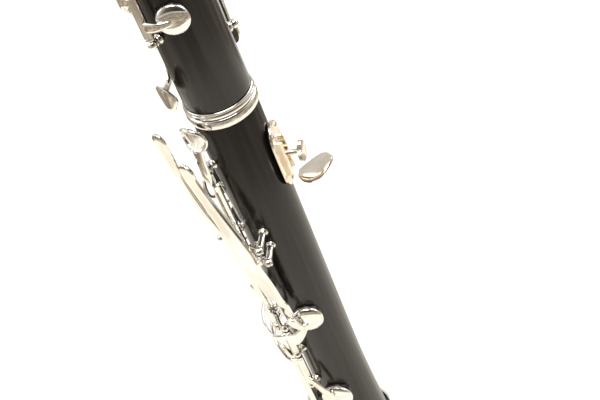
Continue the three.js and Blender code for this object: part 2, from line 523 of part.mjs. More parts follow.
// ---------------------------------------------------------------- thumb rest and metal linings
const lining = (inner, outer, foot, top, height) => stoodOut(
  turned([[inner, foot], [outer, foot], [outer, top], [inner, top]], 16), 180, 0, height,
);
const registerTube = lining(1.5, 2.6, 6, seat(517) + 0.2, 517);
const thumbTube = lining(3.4, 4.4, 7.9, FINGER_TOP + 0.1, 470);

const restPlate = lever(REST, [
  [0, 15.5, 285.2, 7, 1.4], [0, 15.5, 288.6, 13.4, 1.4], [0, 15.5, 314.4, 13.4, 1.4], [0, 15.5, 317.8, 7, 1.4],
], 1);
const restRails = [-2.7, 2.7].map((shift) => lever(REST, [[shift, 17, 291, 1.3, 2.4], [shift, 17, 309, 1.3, 2.4]], 1));
const thumbRestPlate = joined([restPlate, ...restRails]);

// The hook is a deep narrow bar between the rails, with a paddle for the thumb.
const hookBar = lever(REST, [[0, 19.9, 288.2, 3.4, 6.3], [0, 19.9, 311, 3.4, 6.3]], 1);
const hookPaddle = strap(smooth([
  [19.4, 288.6, 4, 2], [22, 288.4, 10.5, 1.9], [26.5, 289.6, 15.5, 1.9], [31.5, 292, 15, 1.8], [35.6, 294.4, 8.5, 1.6],
]).map(([radius, height, width, thickness]) => (
  { centre: at(REST, radius, height), up: new THREE.Vector3(0, 0, 1), width, thickness })));
const SCREW_HEIGHT = 301;
const screwHole = bar(at(REST, 14, SCREW_HEIGHT), at(REST, 24, SCREW_HEIGHT), 1.2, 12);
const thumbRestHook = joined([hookBar, hookPaddle]).subtract(screwHole);
const thumbRestScrew = joined([
  bar(at(REST, 16.6, SCREW_HEIGHT), at(REST, 24, SCREW_HEIGHT), 0.85, 10),
  bar(at(REST, 23.4, SCREW_HEIGHT), at(REST, 25.2, SCREW_HEIGHT), 4.6, 18),
]);

const GUIDE = { angle: 222, radius: 17.4, height: 360.5 };
const sideKeyGuide = joined([
  bar(at(GUIDE.angle, upperRadius(GUIDE.height) + GAP, GUIDE.height), at(GUIDE.angle, GUIDE.radius, GUIDE.height), 1.3, 8, 0.8),
  ball(at(GUIDE.angle, GUIDE.radius, GUIDE.height), 1.5),
]);

// ---------------------------------------------------------------- wood with every hole drilled
const leftHoles = [fingerHoles.left_first, fingerHoles.left_second, fingerHoles.left_third];
const thumbChimney = stoodOut(turned([[0, 8.5], [6.6, 8.5], [6, 16.9], [0, 16.9]], 20), 180, 0, 470);
const upperJoint = drilled(
  joined([upperTube, thumbChimney]), leftHoles, Object.values(upperPads),
).subtract(joined([
  bar(at(180, 5, 470), at(180, 22, 470), 4.75, 16),
  bar(at(180, 5, 517), at(180, 22, 517), 2.95, 14),
]));
const lowerJoint = drilled(lowerTube, rightHoles, Object.values(lowerPads));

// ---------------------------------------------------------------- the assembly
const group = new THREE.Group();
group.name = 'clarinet';

function addPiece(name, solid, material) {
  const { numProp, vertProperties, triVerts } = solid.simplify(0.05).getMesh();
  const geometry = new THREE.BufferGeometry();
  const position = new Float32Array((vertProperties.length / numProp) * 3);
  for (let i = 0; i < position.length / 3; i += 1) {
    for (let axis = 0; axis < 3; axis += 1) position[i * 3 + axis] = vertProperties[i * numProp + axis];
  }
  geometry.setAttribute('position', new THREE.BufferAttribute(position, 3));
  geometry.setIndex(new THREE.BufferAttribute(Uint32Array.from(triVerts), 1));
  geometry.computeVertexNormals();
  const mesh = new THREE.Mesh(geometry, material);
  mesh.name = name;
  group.add(mesh);
}

const pieces = [
  [ebonite, { mouthpiece }],
  [cane, { reed }],
  [silver, {
    ligature, ligature_screw_upper: ligatureScrew(628), ligature_screw_lower: ligatureScrew(616),
    barrel_top_ring: barrelRing(594, 598.6), barrel_bottom_ring: barrelRing(533.7, 538.2),
    upper_joint_ring: upperRing, lower_joint_ring: lowerRing,
    bell_socket_ring: bellSocketRing, bell_rim_ring: bellRimRing,
  }],
  [grenadilla, { barrel, upper_joint: upperJoint, lower_joint: lowerJoint, bell }],
  [cork, {
    mouthpiece_cork: tenonCork(584.8, 594), upper_joint_top_cork: tenonCork(535.2, 546),
    upper_joint_bottom_cork: tenonCork(321.2, 331), lower_joint_cork: lowerCork,
  }],
  [silver, {
    register_key: register, throat_a_key: throatA, throat_g_sharp_key: throatGSharp,
    side_key_1: sideOne, side_key_2: sideTwo, side_key_3: sideThree, side_key_4: sideFour,
    cross_key: cross, c_sharp_key: cSharp, thumb_ring_key: thumbRing, first_ring_key: firstRing,
    upper_bridge_key: upperBridge, lower_ring_key: lowerRingKey, sliver_key: sliver,
    a_flat_key: aFlat, f_sharp_key: fSharp, e_key: eKey, f_key: fKey,
    left_f_lever: leftF, left_e_lever: leftE, left_a_flat_lever: leftAFlat,
  }],
  [steel, Object.fromEntries(Object.entries(hinges).map(([name, hinge]) => [name, postsAndRod(hinge)]))],
  [silver, {
    register_tube: registerTube, thumb_tube: thumbTube, thumb_rest_plate: thumbRestPlate,
    thumb_rest_hook: thumbRestHook, thumb_rest_screw: thumbRestScrew, side_key_guide: sideKeyGuide,
  }],
];
for (const [material, named] of pieces) {
  for (const [name, solid] of Object.entries(named)) addPiece(name, solid, material);
}

export default group;
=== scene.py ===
"""Looks of the clarinet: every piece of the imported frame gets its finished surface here.

Sizes in this script are in millimetres in the row's frame and are turned into metres when a
mesh is made. Angles run round the bore, from the finger holes towards the player's left.
"""
import bmesh
import bpy
import math
from mathutils import Matrix, Vector


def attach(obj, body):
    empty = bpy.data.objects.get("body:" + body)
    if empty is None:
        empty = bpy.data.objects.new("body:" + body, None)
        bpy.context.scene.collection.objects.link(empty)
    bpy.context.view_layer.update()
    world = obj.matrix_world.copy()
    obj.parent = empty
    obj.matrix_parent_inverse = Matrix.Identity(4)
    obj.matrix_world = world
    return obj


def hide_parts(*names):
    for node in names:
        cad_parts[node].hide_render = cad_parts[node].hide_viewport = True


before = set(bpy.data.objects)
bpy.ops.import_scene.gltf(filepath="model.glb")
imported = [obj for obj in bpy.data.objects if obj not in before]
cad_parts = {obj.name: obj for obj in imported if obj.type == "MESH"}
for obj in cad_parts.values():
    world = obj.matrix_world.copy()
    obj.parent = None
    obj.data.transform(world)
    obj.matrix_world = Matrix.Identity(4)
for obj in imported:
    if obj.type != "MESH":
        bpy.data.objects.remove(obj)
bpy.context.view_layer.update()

MM = 0.001

# ------------------------------------------------------------------ driving sizes
BORE = 7.4
BELL_TOP = 106
LOWER_TOP = 330.5
MIDDLE_SPLIT = 335.3
UPPER_BOTTOM = 338.9
UPPER_TOP = 533
BARREL_TOP = 599
TIP = 672
GAP = 0.35
FINGER_TOP = 17.1
RING_TOP = 17.5
POST_BALL = 1.9
SLEEVE = 1.9
SLEEVE_BORE = 1.25
PAD_GAP = 0.3
TOUCH_DISH = 0.25
UPPER, LOWER = "upper_joint_body", "lower_joint_body"
THUMB_SIDE = 180
THUMB_HOLE = 470
REGISTER_HOLE = 517
SCREW_HEIGHT = 301
RING_ROD = -45
SQUARE_ENDS = ("square", "square")
OPEN_RING = -6.5
UP = Vector((0, 0, 1))

# How finely shapes are cut. STATION_GAP is in millimetres and SHARP_EDGE in degrees.
STRAP_SIDES = 20
CORNER_STEPS = 3
CURVE_STEPS = 8
STATION_GAP = 1.1
SHARP_EDGE = 38


# ------------------------------------------------------------------ directions round the bore
def outward(angle):
    a = math.radians(angle)
    return Vector((math.sin(a), -math.cos(a), 0))


def sideways(angle):
    a = math.radians(angle)
    return Vector((math.cos(a), math.sin(a), 0))


def at(angle, radius, height):
    return outward(angle) * radius + Vector((0, 0, height))


def beside(angle, shift, radius, height):
    return at(angle, radius, height) + sideways(angle) * shift


# ------------------------------------------------------------------ materials
def new_material(name):
    material = bpy.data.materials.new(name)
    material.use_nodes = True
    return material, material.node_tree.nodes, material.node_tree.links


def grain(nodes, links, scale, detail=4.0):
    """Noise in the row's frame, at one scale or at one for each axis."""
    place = nodes.new("ShaderNodeTexCoord")
    stretch = nodes.new("ShaderNodeMapping")
    stretch.inputs["Scale"].default_value = scale if isinstance(scale, tuple) else (scale,) * 3
    noise = nodes.new("ShaderNodeTexNoise")
    noise.inputs["Scale"].default_value = 1.0
    noise.inputs["Detail"].default_value = detail
    noise.inputs["Roughness"].default_value = 0.55
    links.new(place.outputs["Object"], stretch.inputs["Vector"])
    links.new(stretch.outputs["Vector"], noise.inputs["Vector"])
    return noise.outputs["Fac"]


def ramp(nodes, links, value, stops):
    """Colour ramp: stops are (position, colour)."""
    node = nodes.new("ShaderNodeValToRGB")
    elements = node.color_ramp.elements
    while len(elements) < len(stops):
        elements.new(0.5)
    for element, (position, colour) in zip(elements, stops):
        element.position = position
        element.color = (*colour, 1.0)
    links.new(value, node.inputs["Fac"])
    return node.outputs["Color"]


def spread(nodes, links, value, low, high):
    """Stretch the span where most of the noise lies over low to high."""
    node = nodes.new("ShaderNodeMapRange")
    node.inputs["From Min"].default_value = 0.3
    node.inputs["From Max"].default_value = 0.7
    node.inputs["To Min"].default_value = low
    node.inputs["To Max"].default_value = high
    links.new(value, node.inputs["Value"])
    return node.outputs["Result"]


def roughen(nodes, links, shader, height, strength, distance):
    bump = nodes.new("ShaderNodeBump")
    bump.inputs["Strength"].default_value = strength
    bump.inputs["Distance"].default_value = distance
    links.new(height, bump.inputs["Height"])
    links.new(bump.outputs["Normal"], shader.inputs["Normal"])


def finish(name, colours, colour_scale, rough, rough_scale, bump_scale, bump, metallic=0.0,
           coat=0.0, coat_rough=0.1, bump_distance=0.0002):
    """A surface whose colour, gloss and relief each follow their own grain."""
    material, nodes, links = new_material(name)
    shader = nodes["Principled BSDF"]
    shader.inputs["Metallic"].default_value = metallic
    shader.inputs["Coat Weight"].default_value = coat
    shader.inputs["Coat Roughness"].default_value = coat_rough
    tone = grain(nodes, links, colour_scale)
    count = len(colours) - 1
    stops = [(0.32 + 0.36 * i / count, colour) for i, colour in enumerate(colours)]
    links.new(ramp(nodes, links, tone, stops), shader.inputs["Base Color"])
    wear = grain(nodes, links, rough_scale)
    links.new(spread(nodes, links, wear, *rough), shader.inputs["Roughness"])
    relief = grain(nodes, links, bump_scale, detail=6.0)
    roughen(nodes, links, shader, relief, bump, bump_distance)
    return material


WOOD = finish("grenadilla", [(0.0075, 0.006, 0.0052), (0.011, 0.0088, 0.0075), (0.018, 0.0135, 0.0108)],
              (900, 900, 14), (0.17, 0.25), (260, 260, 9), (2600, 2600, 60), 0.05,
              bump_distance=0.0001)
SILVER = finish("silver_plate", [(0.89, 0.84, 0.745), (0.94, 0.915, 0.865), (0.965, 0.95, 0.92)],
                (70, 70, 55), (0.06, 0.15), 160, 2200, 0.02, metallic=1.0)
WARM_SILVER = finish("worn_silver_plate", [(0.76, 0.66, 0.53), (0.84, 0.76, 0.65), (0.90, 0.84, 0.75)],
                     90, (0.10, 0.24), 200, 2200, 0.03, metallic=1.0)
STEEL = finish("plated_rod", [(0.74, 0.67, 0.56), (0.84, 0.80, 0.71), (0.90, 0.88, 0.83)],
               (120, 120, 40), (0.10, 0.22), (300, 300, 90), (3000, 3000, 500), 0.03, metallic=1.0)
EBONITE = finish("ebonite", [(0.006, 0.006, 0.0065), (0.011, 0.011, 0.011)], (60, 60, 30),
                 (0.10, 0.20), 180, 1500, 0.04, coat=0.3, coat_rough=0.06)
CORK = finish("cork", [(0.18, 0.09, 0.04), (0.42, 0.25, 0.12), (0.55, 0.36, 0.19)], (900, 900, 700),
              (0.75, 0.95), 900, 1600, 0.6)
CANE = finish("cane", [(0.48, 0.33, 0.12), (0.66, 0.50, 0.24), (0.76, 0.62, 0.36)], (1500, 1500, 22),
              (0.42, 0.60), (600, 600, 20), (3800, 3800, 60), 0.35)
SKIN = finish("pad_skin", [(0.62, 0.54, 0.40), (0.80, 0.74, 0.62)], 800,
              (0.45, 0.65), 600, 1800, 0.3)


# ------------------------------------------------------------------ mesh code
# A shape is (points, faces, material number). Points are in millimetres.
def joined(rows):
    """Faces between each row of point numbers and the next; every row closes on itself."""
    faces = []
    for low, high in zip(rows, rows[1:]):
        for k in range(len(low)):
            n = (k + 1) % len(low)
            face = list(dict.fromkeys([low[k], low[n], high[n], high[k]]))
            if len(face) > 2:
                faces.append(face)
    return faces


def turned(outline, segments=64, finish_number=0):
    """Turn [radius, height] pairs round the z axis. An outline off the axis closes on itself."""
    points, rows = [], []
    for radius, height in outline:
        if radius == 0:
            rows.append([len(points)] * segments)
            points.append(Vector((0, 0, height)))
            continue
        rows.append(list(range(len(points), len(points) + segments)))
        for k in range(segments):
            turn = 2 * math.pi * k / segments
            points.append(Vector((radius * math.cos(turn), radius * math.sin(turn), height)))
    if outline[0][0] or outline[-1][0]:
        rows.append(rows[0])
    return points, joined(rows), finish_number


def rounded(outline, radius, closed=True):
    """Round the corners of an outline of [radius, height] pairs."""
    count = len(outline)
    run = []
    for i, corner in enumerate(outline):
        if not closed and i in (0, count - 1):
            run.append(tuple(corner))
            continue
        here = Vector(corner)
        before, after = Vector(outline[i - 1]) - here, Vector(outline[(i + 1) % count]) - here
        reach = min(radius, before.length * 0.45, after.length * 0.45)
        start, end = here + before.normalized() * reach, here + after.normalized() * reach
        for k in range(CORNER_STEPS + 1):
            t = k / CORNER_STEPS
            point = start * (1 - t) ** 2 + here * (2 * t * (1 - t)) + end * t ** 2
            run.append((max(point.x, 0), point.y))
    return run


def moved(shape, matrix):
    points, faces, number = shape
    return [matrix @ point for point in points], faces, number


def facing(x, y, z, origin):
    """Matrix with these three axes, standing at origin."""
    matrix = Matrix((x, y, z)).transposed().to_4x4()
    matrix.translation = origin
    return matrix


def stood_out(shape, angle, radius, height, shift=0.0):
    """Stand a shape on the bore wall, its own z axis pointing out."""
    axes = (sideways(angle), UP, outward(angle))
    return moved(shape, facing(*axes, beside(angle, shift, radius, height)))


def along(shape, start, end):
    """Lay a shape's z axis along a line."""
    z = (end - start).normalized()
    spare = UP if abs(z.z) < 0.9 else Vector((1, 0, 0))
    x = spare.cross(z).normalized()
    return moved(shape, facing(x, z.cross(x), z, start))


def bar(start, end, radius, end_radius=None, segments=28, number=0):
    """A turned bar with softened ends."""
    last = radius if end_radius is None else end_radius
    length = (end - start).length
    outline = [(0, 0), (radius, 0), (last, length), (0, length)]
    return along(turned(rounded(outline, 0.25, closed=False), segments, number), start, end)


def sleeve(start, end):
    """A drilled tube with softened ends and a fine collar line near each end."""
    length = (end - start).length
    line, cut = 0.9, 0.12
    outline = [(SLEEVE_BORE, 0), (SLEEVE, 0), (SLEEVE, line), (SLEEVE - cut, line + cut),
               (SLEEVE, line + 2 * cut), (SLEEVE, length - line - 2 * cut),
               (SLEEVE - cut, length - line - cut), (SLEEVE, length - line), (SLEEVE, length),
               (SLEEVE_BORE, length)]
    return along(turned(rounded(outline, 0.22), 32), start, end)


def smooth_rows(rows):
    """Rows along a smooth curve that passes through each row given."""
    run = []
    for i in range(len(rows) - 1):
        around = rows[max(i - 1, 0)], rows[i], rows[i + 1], rows[min(i + 2, len(rows) - 1)]
        for k in range(CURVE_STEPS):
            t = k / CURVE_STEPS
            run.append([0.5 * (2 * b + (c - a) * t + (2 * a - 5 * b + 4 * c - d) * t * t
                               + (3 * b - a - 3 * c + d) * t ** 3) for a, b, c, d in zip(*around)])
    run.append(list(rows[-1]))
    return run


def section(width, thickness, square):
    """Cross-section of a strap: square 2 is an ellipse, larger is boxier."""
    corners = []
    for k in range(STRAP_SIDES):
        t = 2 * math.pi * (k + 0.5) / STRAP_SIDES
        u = math.copysign(abs(math.cos(t)) ** (2 / square), math.cos(t)) * width / 2
        v = math.copysign(abs(math.sin(t)) ** (2 / square), math.sin(t)) * thickness / 2
        corners.append((u, v))
    return corners


def strap(stations, square=3.2, ends=("round", "round"), number=0):
    """Loft a strap through stations of (centre, up, width, thickness)."""
    lengths = [0.0]
    for before, after in zip(stations, stations[1:]):
        lengths.append(lengths[-1] + (after[0] - before[0]).length)
    total = lengths[-1]
    count = max(int(total / STATION_GAP), 6)
    marks = {i * total / count for i in range(count + 1)}
    for end, width in ((0.0, stations[0][2]), (total, stations[-1][2])):
        for part in (0.01, 0.05, 0.15, 0.3, 0.5, 0.75, 1.0):
            marks.add(abs(end - min(part * width / 2, total * 0.4)))

    def station_at(mark):
        i = max(k for k in range(len(lengths) - 1) if lengths[k] <= mark + 1e-9)
        t = (mark - lengths[i]) / max(lengths[i + 1] - lengths[i], 1e-9)
        return [a + (b - a) * t for a, b in zip(stations[i], stations[i + 1])]

    points, rows = [], []
    for mark in sorted(marks):
        centre, up, width, thickness = station_at(mark)
        ahead = station_at(min(mark + 0.3, total))[0] - station_at(max(mark - 0.3, 0))[0]
        travel = ahead.normalized()
        up = (up - travel * up.dot(travel)).normalized()
        across = travel.cross(up)
        for gap, kind in ((mark, ends[0]), (total - mark, ends[1])):
            if kind == "round" and gap < width / 2:
                width *= max(math.sqrt(max(1 - (1 - 2 * gap / width) ** 2, 0)), 0.12)
            if kind != "plain" and gap < 0.35:
                thickness *= 0.62 + 0.38 * math.sqrt(max(gap, 0) / 0.35)
        rows.append(list(range(len(points), len(points) + STRAP_SIDES)))
        points += [centre + across * u + up * v for u, v in section(width, thickness, square)]
    return points, joined(rows) + [rows[0][::-1], rows[-1]], number


def wrapped(rows, **options):
    """Strap wrapped round the bore: rows of [angle, radius, height, width, thickness]."""
    return strap([(at(a, r, z), outward(a), w, t) for a, r, z, w, t in smooth_rows(rows)], **options)


def lever(angle, rows, **options):
    """Strap over one line of the bore: rows of [shift, radius, height, width, thickness]."""
    up = outward(angle)
    return strap([(beside(angle, s, r, z), up, w, t) for s, r, z, w, t in smooth_rows(rows)], **options)


def hoop(centres, radius):
    """Round wire bent into a closed loop through these centres."""
    points, rows = [], []
    segments = 14
    for i, centre in enumerate(centres):
        rows.append(list(range(i * segments, (i + 1) * segments)))
        travel = (centres[(i + 1) % len(centres)] - centres[i - 1]).normalized()
        across = travel.cross(Vector((centre.x, centre.y, 0)).normalized()).normalized()
        up = across.cross(travel)
        for k in range(segments):
            turn = 2 * math.pi * k / segments
            points.append(centre + (across * math.cos(turn) + up * math.sin(turn)) * radius)
    return points, joined(rows + rows[:1]), 0


def turned_about(shapes, point, axis, degrees):
    spin = Matrix.Rotation(math.radians(degrees), 4, axis)
    turn = Matrix.Translation(point) @ spin @ Matrix.Translation(-point)
    return [moved(shape, turn) for shape in shapes]


def make(name, body, shapes, materials, replaced=()):
    """One finished object from several shapes, riding on a body."""
    mesh = bpy.data.meshes.new(name)
    points, faces, numbers = [], [], []
    for shape_points, shape_faces, number in shapes:
        base = len(points)
        points += [point * MM for point in shape_points]
        faces += [[base + k for k in face] for face in shape_faces]
        numbers += [number] * len(shape_faces)
    mesh.from_pydata(points, [], faces)
    for material in materials:
        mesh.materials.append(material)
    mesh.polygons.foreach_set("material_index", numbers)
    mesh.polygons.foreach_set("use_smooth", [True] * len(faces))
    mesh.update()
    tidy_normals(mesh)
    mesh.set_sharp_from_angle(angle=math.radians(SHARP_EDGE))
    piece = bpy.data.objects.new(name, mesh)
    bpy.context.scene.collection.objects.link(piece)
    if body:
        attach(piece, body)
    if replaced:
        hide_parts(*replaced)
    return piece


def tidy_normals(mesh):
    work = bmesh.new()
    work.from_mesh(mesh)
    bmesh.ops.recalc_face_normals(work, faces=work.faces)
    work.to_mesh(mesh)
    work.free()


# ------------------------------------------------------------------ fittings shared by many pieces
def ball_post(point, rod_direction, foot_radius, outer_end, waist):
    """Ball-headed post: collar on the wood, waisted column, ball, and a slotted pivot screw."""
    radial = Vector((point.x, point.y, 0)).normalized()
    foot = radial * foot_radius + Vector((0, 0, point.z))
    rise = (point - foot).length
    top = rise - 1.2
    column = [(0, 0), (1.75, 0), (2.15, 0.45), (2.25, 1.0), (1.95, 1.55), (waist, 2.1),
              (waist, top - 0.4), (waist + 0.25, top), (0, top)]
    shapes = [along(turned(rounded(column, 0.3, closed=False), 28), foot, point)]
    pit = 0.95 if outer_end else 0.0
    outline = [(0, -POST_BALL)]
    steps = 14
    for k in range(1, steps):
        t = -math.pi / 2 + math.pi * k / steps
        radius, height = POST_BALL * math.cos(t), POST_BALL * math.sin(t)
        if t > 0 and radius < pit:
            break
        outline.append((radius, height))
    crown = math.sqrt(POST_BALL ** 2 - pit ** 2)
    if outer_end:
        outline += [(pit + 0.05, crown), (pit, crown - 0.1), (pit, crown - 0.5), (0, crown - 0.5)]
    else:
        outline.append((0, POST_BALL))
    tip = point + rod_direction
    shapes.append(along(turned(outline, 28), point, tip))
    if outer_end:
        for half in (0, 180):
            shapes.append(along(half_disc(0.82, 0.14, half, crown - 0.5, crown - 0.12), point, tip))
    return shapes


def half_disc(radius, slot, turn_degrees, low, high):
    """Half of a slotted screw head, in the piece's second material."""
    corners = []
    steps = 12
    edge = math.asin(slot / radius)
    for k in range(steps + 1):
        t = math.radians(turn_degrees) + edge + (math.pi - 2 * edge) * k / steps
        corners.append((radius * math.cos(t), radius * math.sin(t)))
    return plate(corners, low, high, 1, 0.05)


def plate(corners, low, high, number, chamfer):
    """A flat plate cut to a convex outline, its upper edge softened."""
    points, rows = [], []
    count = len(corners)
    middle = Vector((sum(x for x, _ in corners) / count, sum(y for _, y in corners) / count))
    levels = ((low, 0.0), (high - chamfer, 0.0), (high - chamfer * 0.3, chamfer * 0.3), (high, chamfer))
    for height, inset in levels:
        rows.append(list(range(len(points), len(points) + count)))
        for x, y in corners:
            edge = Vector((x, y)) - middle
            edge *= max(1 - inset / max(edge.length, 0.01), 0.1)
            points.append(Vector((middle.x + edge.x, middle.y + edge.y, height)))
    return points, joined(rows) + [rows[0][::-1], rows[-1]], number


def lower_radius(height):
    flare = min(max((175 - height) / (175 - BELL_TOP), 0), 1)
    return 14.2 + 2.3 * flare * flare


def upper_radius(height):
    return 14.3 - 0.7 * (height - UPPER_BOTTOM) / (UPPER_TOP - UPPER_BOTTOM)


def spring_catch(foot, angle):
    """Small forked catch on a sleeve, where the needle spring's tip rests."""
    stem = bar(foot, foot - outward(angle) * 2.4 + sideways(angle) * 0.6, 0.7)
    tip = foot - outward(angle) * 2.2 + sideways(angle) * 0.6
    prongs = [bar(tip + UP * way * 0.55, tip + sideways(angle) * 1.5 + UP * way * 0.75, 0.38)
              for way in (-1, 1)]
    return [stem, *prongs]


def wood_radius(height):
    return lower_radius(height) if height < LOWER_TOP else upper_radius(height)


def seat(height):
    return wood_radius(height) + 0.7


def cup_top(height):
    return seat(height) + 3.4


def on_cup(place, height):
    """Last row of an arm, sunk a little into the top of its cup."""
    return [place, cup_top(height) - 0.3, height, 2, 1.4]


def cup(hole):
    """Domed cup with a rolled edge, holding a skin-covered pad."""
    angle, height, pad, shift = hole
    dome = [(0, 1.1), (pad - 0.3, 1.1), (pad - 0.3, 1.0), (pad, 1.0), (pad + 0.05, 1.25), (pad, 1.5),
            (pad - 0.1, 1.9), (pad * 0.93, 2.25), (pad * 0.8, 2.65), (pad * 0.62, 2.95),
            (pad * 0.42, 3.12), (pad * 0.2, 3.2), (0, 3.22)]
    skin = [(0, 0.0), (pad - 1.1, 0.0), (pad - 0.55, 0.15), (pad - 0.35, 0.5), (pad - 0.4, 1.15), (0, 1.15)]
    rise = seat(height) + PAD_GAP
    return [stood_out(turned(dome, 56), angle, rise, height, shift),
            stood_out(turned(skin, 40, 1), angle, rise, height, shift)]


def finger_ring(hole):
    band = [(6.95, 0), (8.4, 0), (8.35, 0.9), (8.0, 1.5), (7.3, 1.55), (7.0, 1.1)]
    return stood_out(turned(rounded(band, 0.35), 64), hole[0], RING_TOP, hole[1])


def touch(angle, radius, height, half_width, half_height, thickness=1.5, shift=0.0):
    """Oval touch, slightly dished, with a rounded edge."""
    outline = [(0, 0), (0.9, 0), (0.97, thickness * 0.2), (1.0, thickness * 0.55),
               (0.97, thickness * 0.9), (0.88, thickness), (0.7, thickness - TOUCH_DISH * 0.35),
               (0.4, thickness - TOUCH_DISH * 0.8), (0, thickness - TOUCH_DISH)]
    points, faces, number = turned(outline, 48)
    points = [Vector((p.x * half_width, p.y * half_height, p.z)) for p in points]
    return stood_out((points, faces, number), angle, radius - thickness / 2, height, shift)


class Upright:
    """Hinge whose rod runs up the bore."""

    waist = 1.6

    def __init__(self, angle, radius, stops):
        self.axis = UP
        self.point = at(angle, radius, stops[0])
        self.ends = [at(angle, radius, stop) for stop in stops]


class Crosswise:
    """Hinge whose rod runs across the bore."""

    waist = 1.45

    def __init__(self, angle, radius, height, stops):
        self.axis = sideways(angle)
        self.point = at(angle, radius, height)
        self.ends = [beside(angle, stop, radius, height) for stop in stops]


HINGES = {
    "register_hinge": Crosswise(THUMB_SIDE, 18.6, 499, [-5.4, 5.4]),
    "throat_hinge": Crosswise(-10, 18.8, 494, [-11.2, 11.2]),
    "side_hinge": Crosswise(-95, 19, 428, [-12.6, 12.6]),
    "left_side_hinge": Upright(62, 18.5, [376, 400.5, 424]),
    "thumb_hinge": Upright(128, 18, [446, 485]),
    "upper_ring_hinge": Upright(RING_ROD, 18, [350, 445, 472.5]),
    "lower_ring_hinge": Upright(RING_ROD, 18, [229.5, 318.5]),
    "sliver_hinge": Upright(-72, 18.6, [243.5, 285]),
    "left_f_hinge": Upright(51, 18.6, [232, 311]),
    "left_e_hinge": Crosswise(60, 22.8, 271, [-9.6, 12.4]),
    "left_a_flat_hinge": Crosswise(60, 21.6, 262.5, [3.4, 13.2]),
    "little_finger_hinge": Upright(59, 19.5, [159.5, 185.5, 206.5]),
    "e_hinge": Upright(40, 19.5, [124.5, 216]),
    "f_hinge": Upright(-98, 18.6, [165, 206]),
}
for hinge_name, hinge in HINGES.items():
    owner = UPPER if hinge.point.z > LOWER_TOP else LOWER
    shapes = [bar(hinge.ends[0], hinge.ends[-1], 0.85, number=1)]
    for end in hinge.ends:
        way = hinge.axis if end == hinge.ends[-1] else -hinge.axis
        is_end = end in (hinge.ends[0], hinge.ends[-1])
        shapes += ball_post(end, way, wood_radius(end.z) - 0.15, is_end, hinge.waist)
    make(hinge_name + "_posts", owner, shapes, [SILVER, STEEL], [hinge_name])


def key(name, hinge, start, end, parts, open_degrees=0.0):
    """A key: its sleeve on the hinge and everything soldered to it, standing at rest."""
    first = hinge.point + hinge.axis * start
    last = hinge.point + hinge.axis * end
    shapes = [sleeve(first, last)]
    for part in parts:
        shapes += part if isinstance(part, list) else [part]
    if open_degrees:
        shapes = turned_about(shapes, hinge.point, hinge.axis, open_degrees)
    return make(name + "_plate", name + "_body", shapes, [SILVER, SKIN], [name])


# ------------------------------------------------------------------ tone holes
# Finger holes are (angle, height), pads are (angle, height, radius, shift).
LEFT_HOLES = [(0, 456), (0, 433), (0, 411)]
RIGHT_HOLES = [(0, 291.5), (0, 267), (0, 242)]
THUMB_RING = (THUMB_SIDE, THUMB_HOLE)
UPPER_PADS = {
    "a": (-10, 510, 4.6, 5), "g_sharp": (-10, 505, 4.6, -5), "first_vent": (-10, 470, 4.4, 0),
    "bridge_vent": (-6, 396, 4.6, 0), "thumb_vent": (178, 453, 4.4, 0), "cross": (98, 409, 4.6, 0),
    "c_sharp": (100, 384.8, 6.3, 0), "side_1": (-95, 446, 4.2, -5.5), "side_2": (-95, 464, 4.2, -0.5),
    "side_3": (-95, 489, 4.2, 2.5), "side_4": (-95, 508, 4.2, 4.5),
}
LOWER_PADS = {
    "ring_vent": (-4, 312, 4.6, 0), "sliver": (-104, 274, 4.8, 0), "a_flat": (98, 210.7, 7.6, 0),
    "f": (-14, 172, 7.6, 0), "f_sharp": (90, 147, 8, 0), "e": (-12, 127, 8.4, 0),
}


def cut_away(piece, shapes):
    """Cut closed shapes out of a finished piece."""
    for shape in shapes:
        tool = make("cutting_tool", None, [shape], [])
        cut = piece.modifiers.new("cut", "BOOLEAN")
        cut.operation = "DIFFERENCE"
        cut.solver = "EXACT"
        cut.object = tool
        graph = bpy.context.evaluated_depsgraph_get()
        result = bpy.data.meshes.new_from_object(piece.evaluated_get(graph))
        piece.modifiers.clear()
        piece.data = result
        bpy.data.objects.remove(tool)
    piece.data.set_sharp_from_angle(angle=math.radians(SHARP_EDGE))


def drilled(name, body, tube, fingers, pads, extra, replaced):
    """A wooden joint: the tube with its holes cut, and a raised rim standing round each hole."""
    joint = make(name, body, [tube], [WOOD], replaced)
    cutters, rims = [], []
    for angle, height in fingers:
        rim = [(3.7, 8.5), (6.6, 8.5), (6.25, 14.6), (6.0, FINGER_TOP - 0.5), (5.6, FINGER_TOP),
               (4.1, FINGER_TOP), (3.7, FINGER_TOP - 0.4)]
        rims.append(stood_out(turned(rounded(rim, 0.3), 56), angle, 0, height))
        cutters.append(bar(at(angle, 3, height), at(angle, 20, height), 3.72, segments=56))
    for angle, height, pad, shift in pads:
        top = seat(height)
        hole = pad - 2.3
        rim = [(hole, 10), (pad - 0.5, 10), (pad - 0.7, top - 0.5), (pad - 0.9, top),
               (hole + 0.5, top), (hole, top - 0.5)]
        rims.append(stood_out(turned(rounded(rim, 0.2), 44), angle, 0, height, shift))
        start, end = beside(angle, shift, 3, height), beside(angle, shift, 20, height)
        cutters.append(bar(start, end, hole + 0.02, segments=44))
    for start, end, radius in extra:
        cutters.append(bar(start, end, radius, segments=48))
    cut_away(joint, cutters)
    make(name + "_rims", body, rims, [WOOD])


# ------------------------------------------------------------------ the wooden tube and its rings
def ring_piece(name, body, outline, replaced, material=SILVER, radius=0.35, segments=112):
    return make(name, body, [turned(rounded(outline, radius), segments)], [material], replaced)


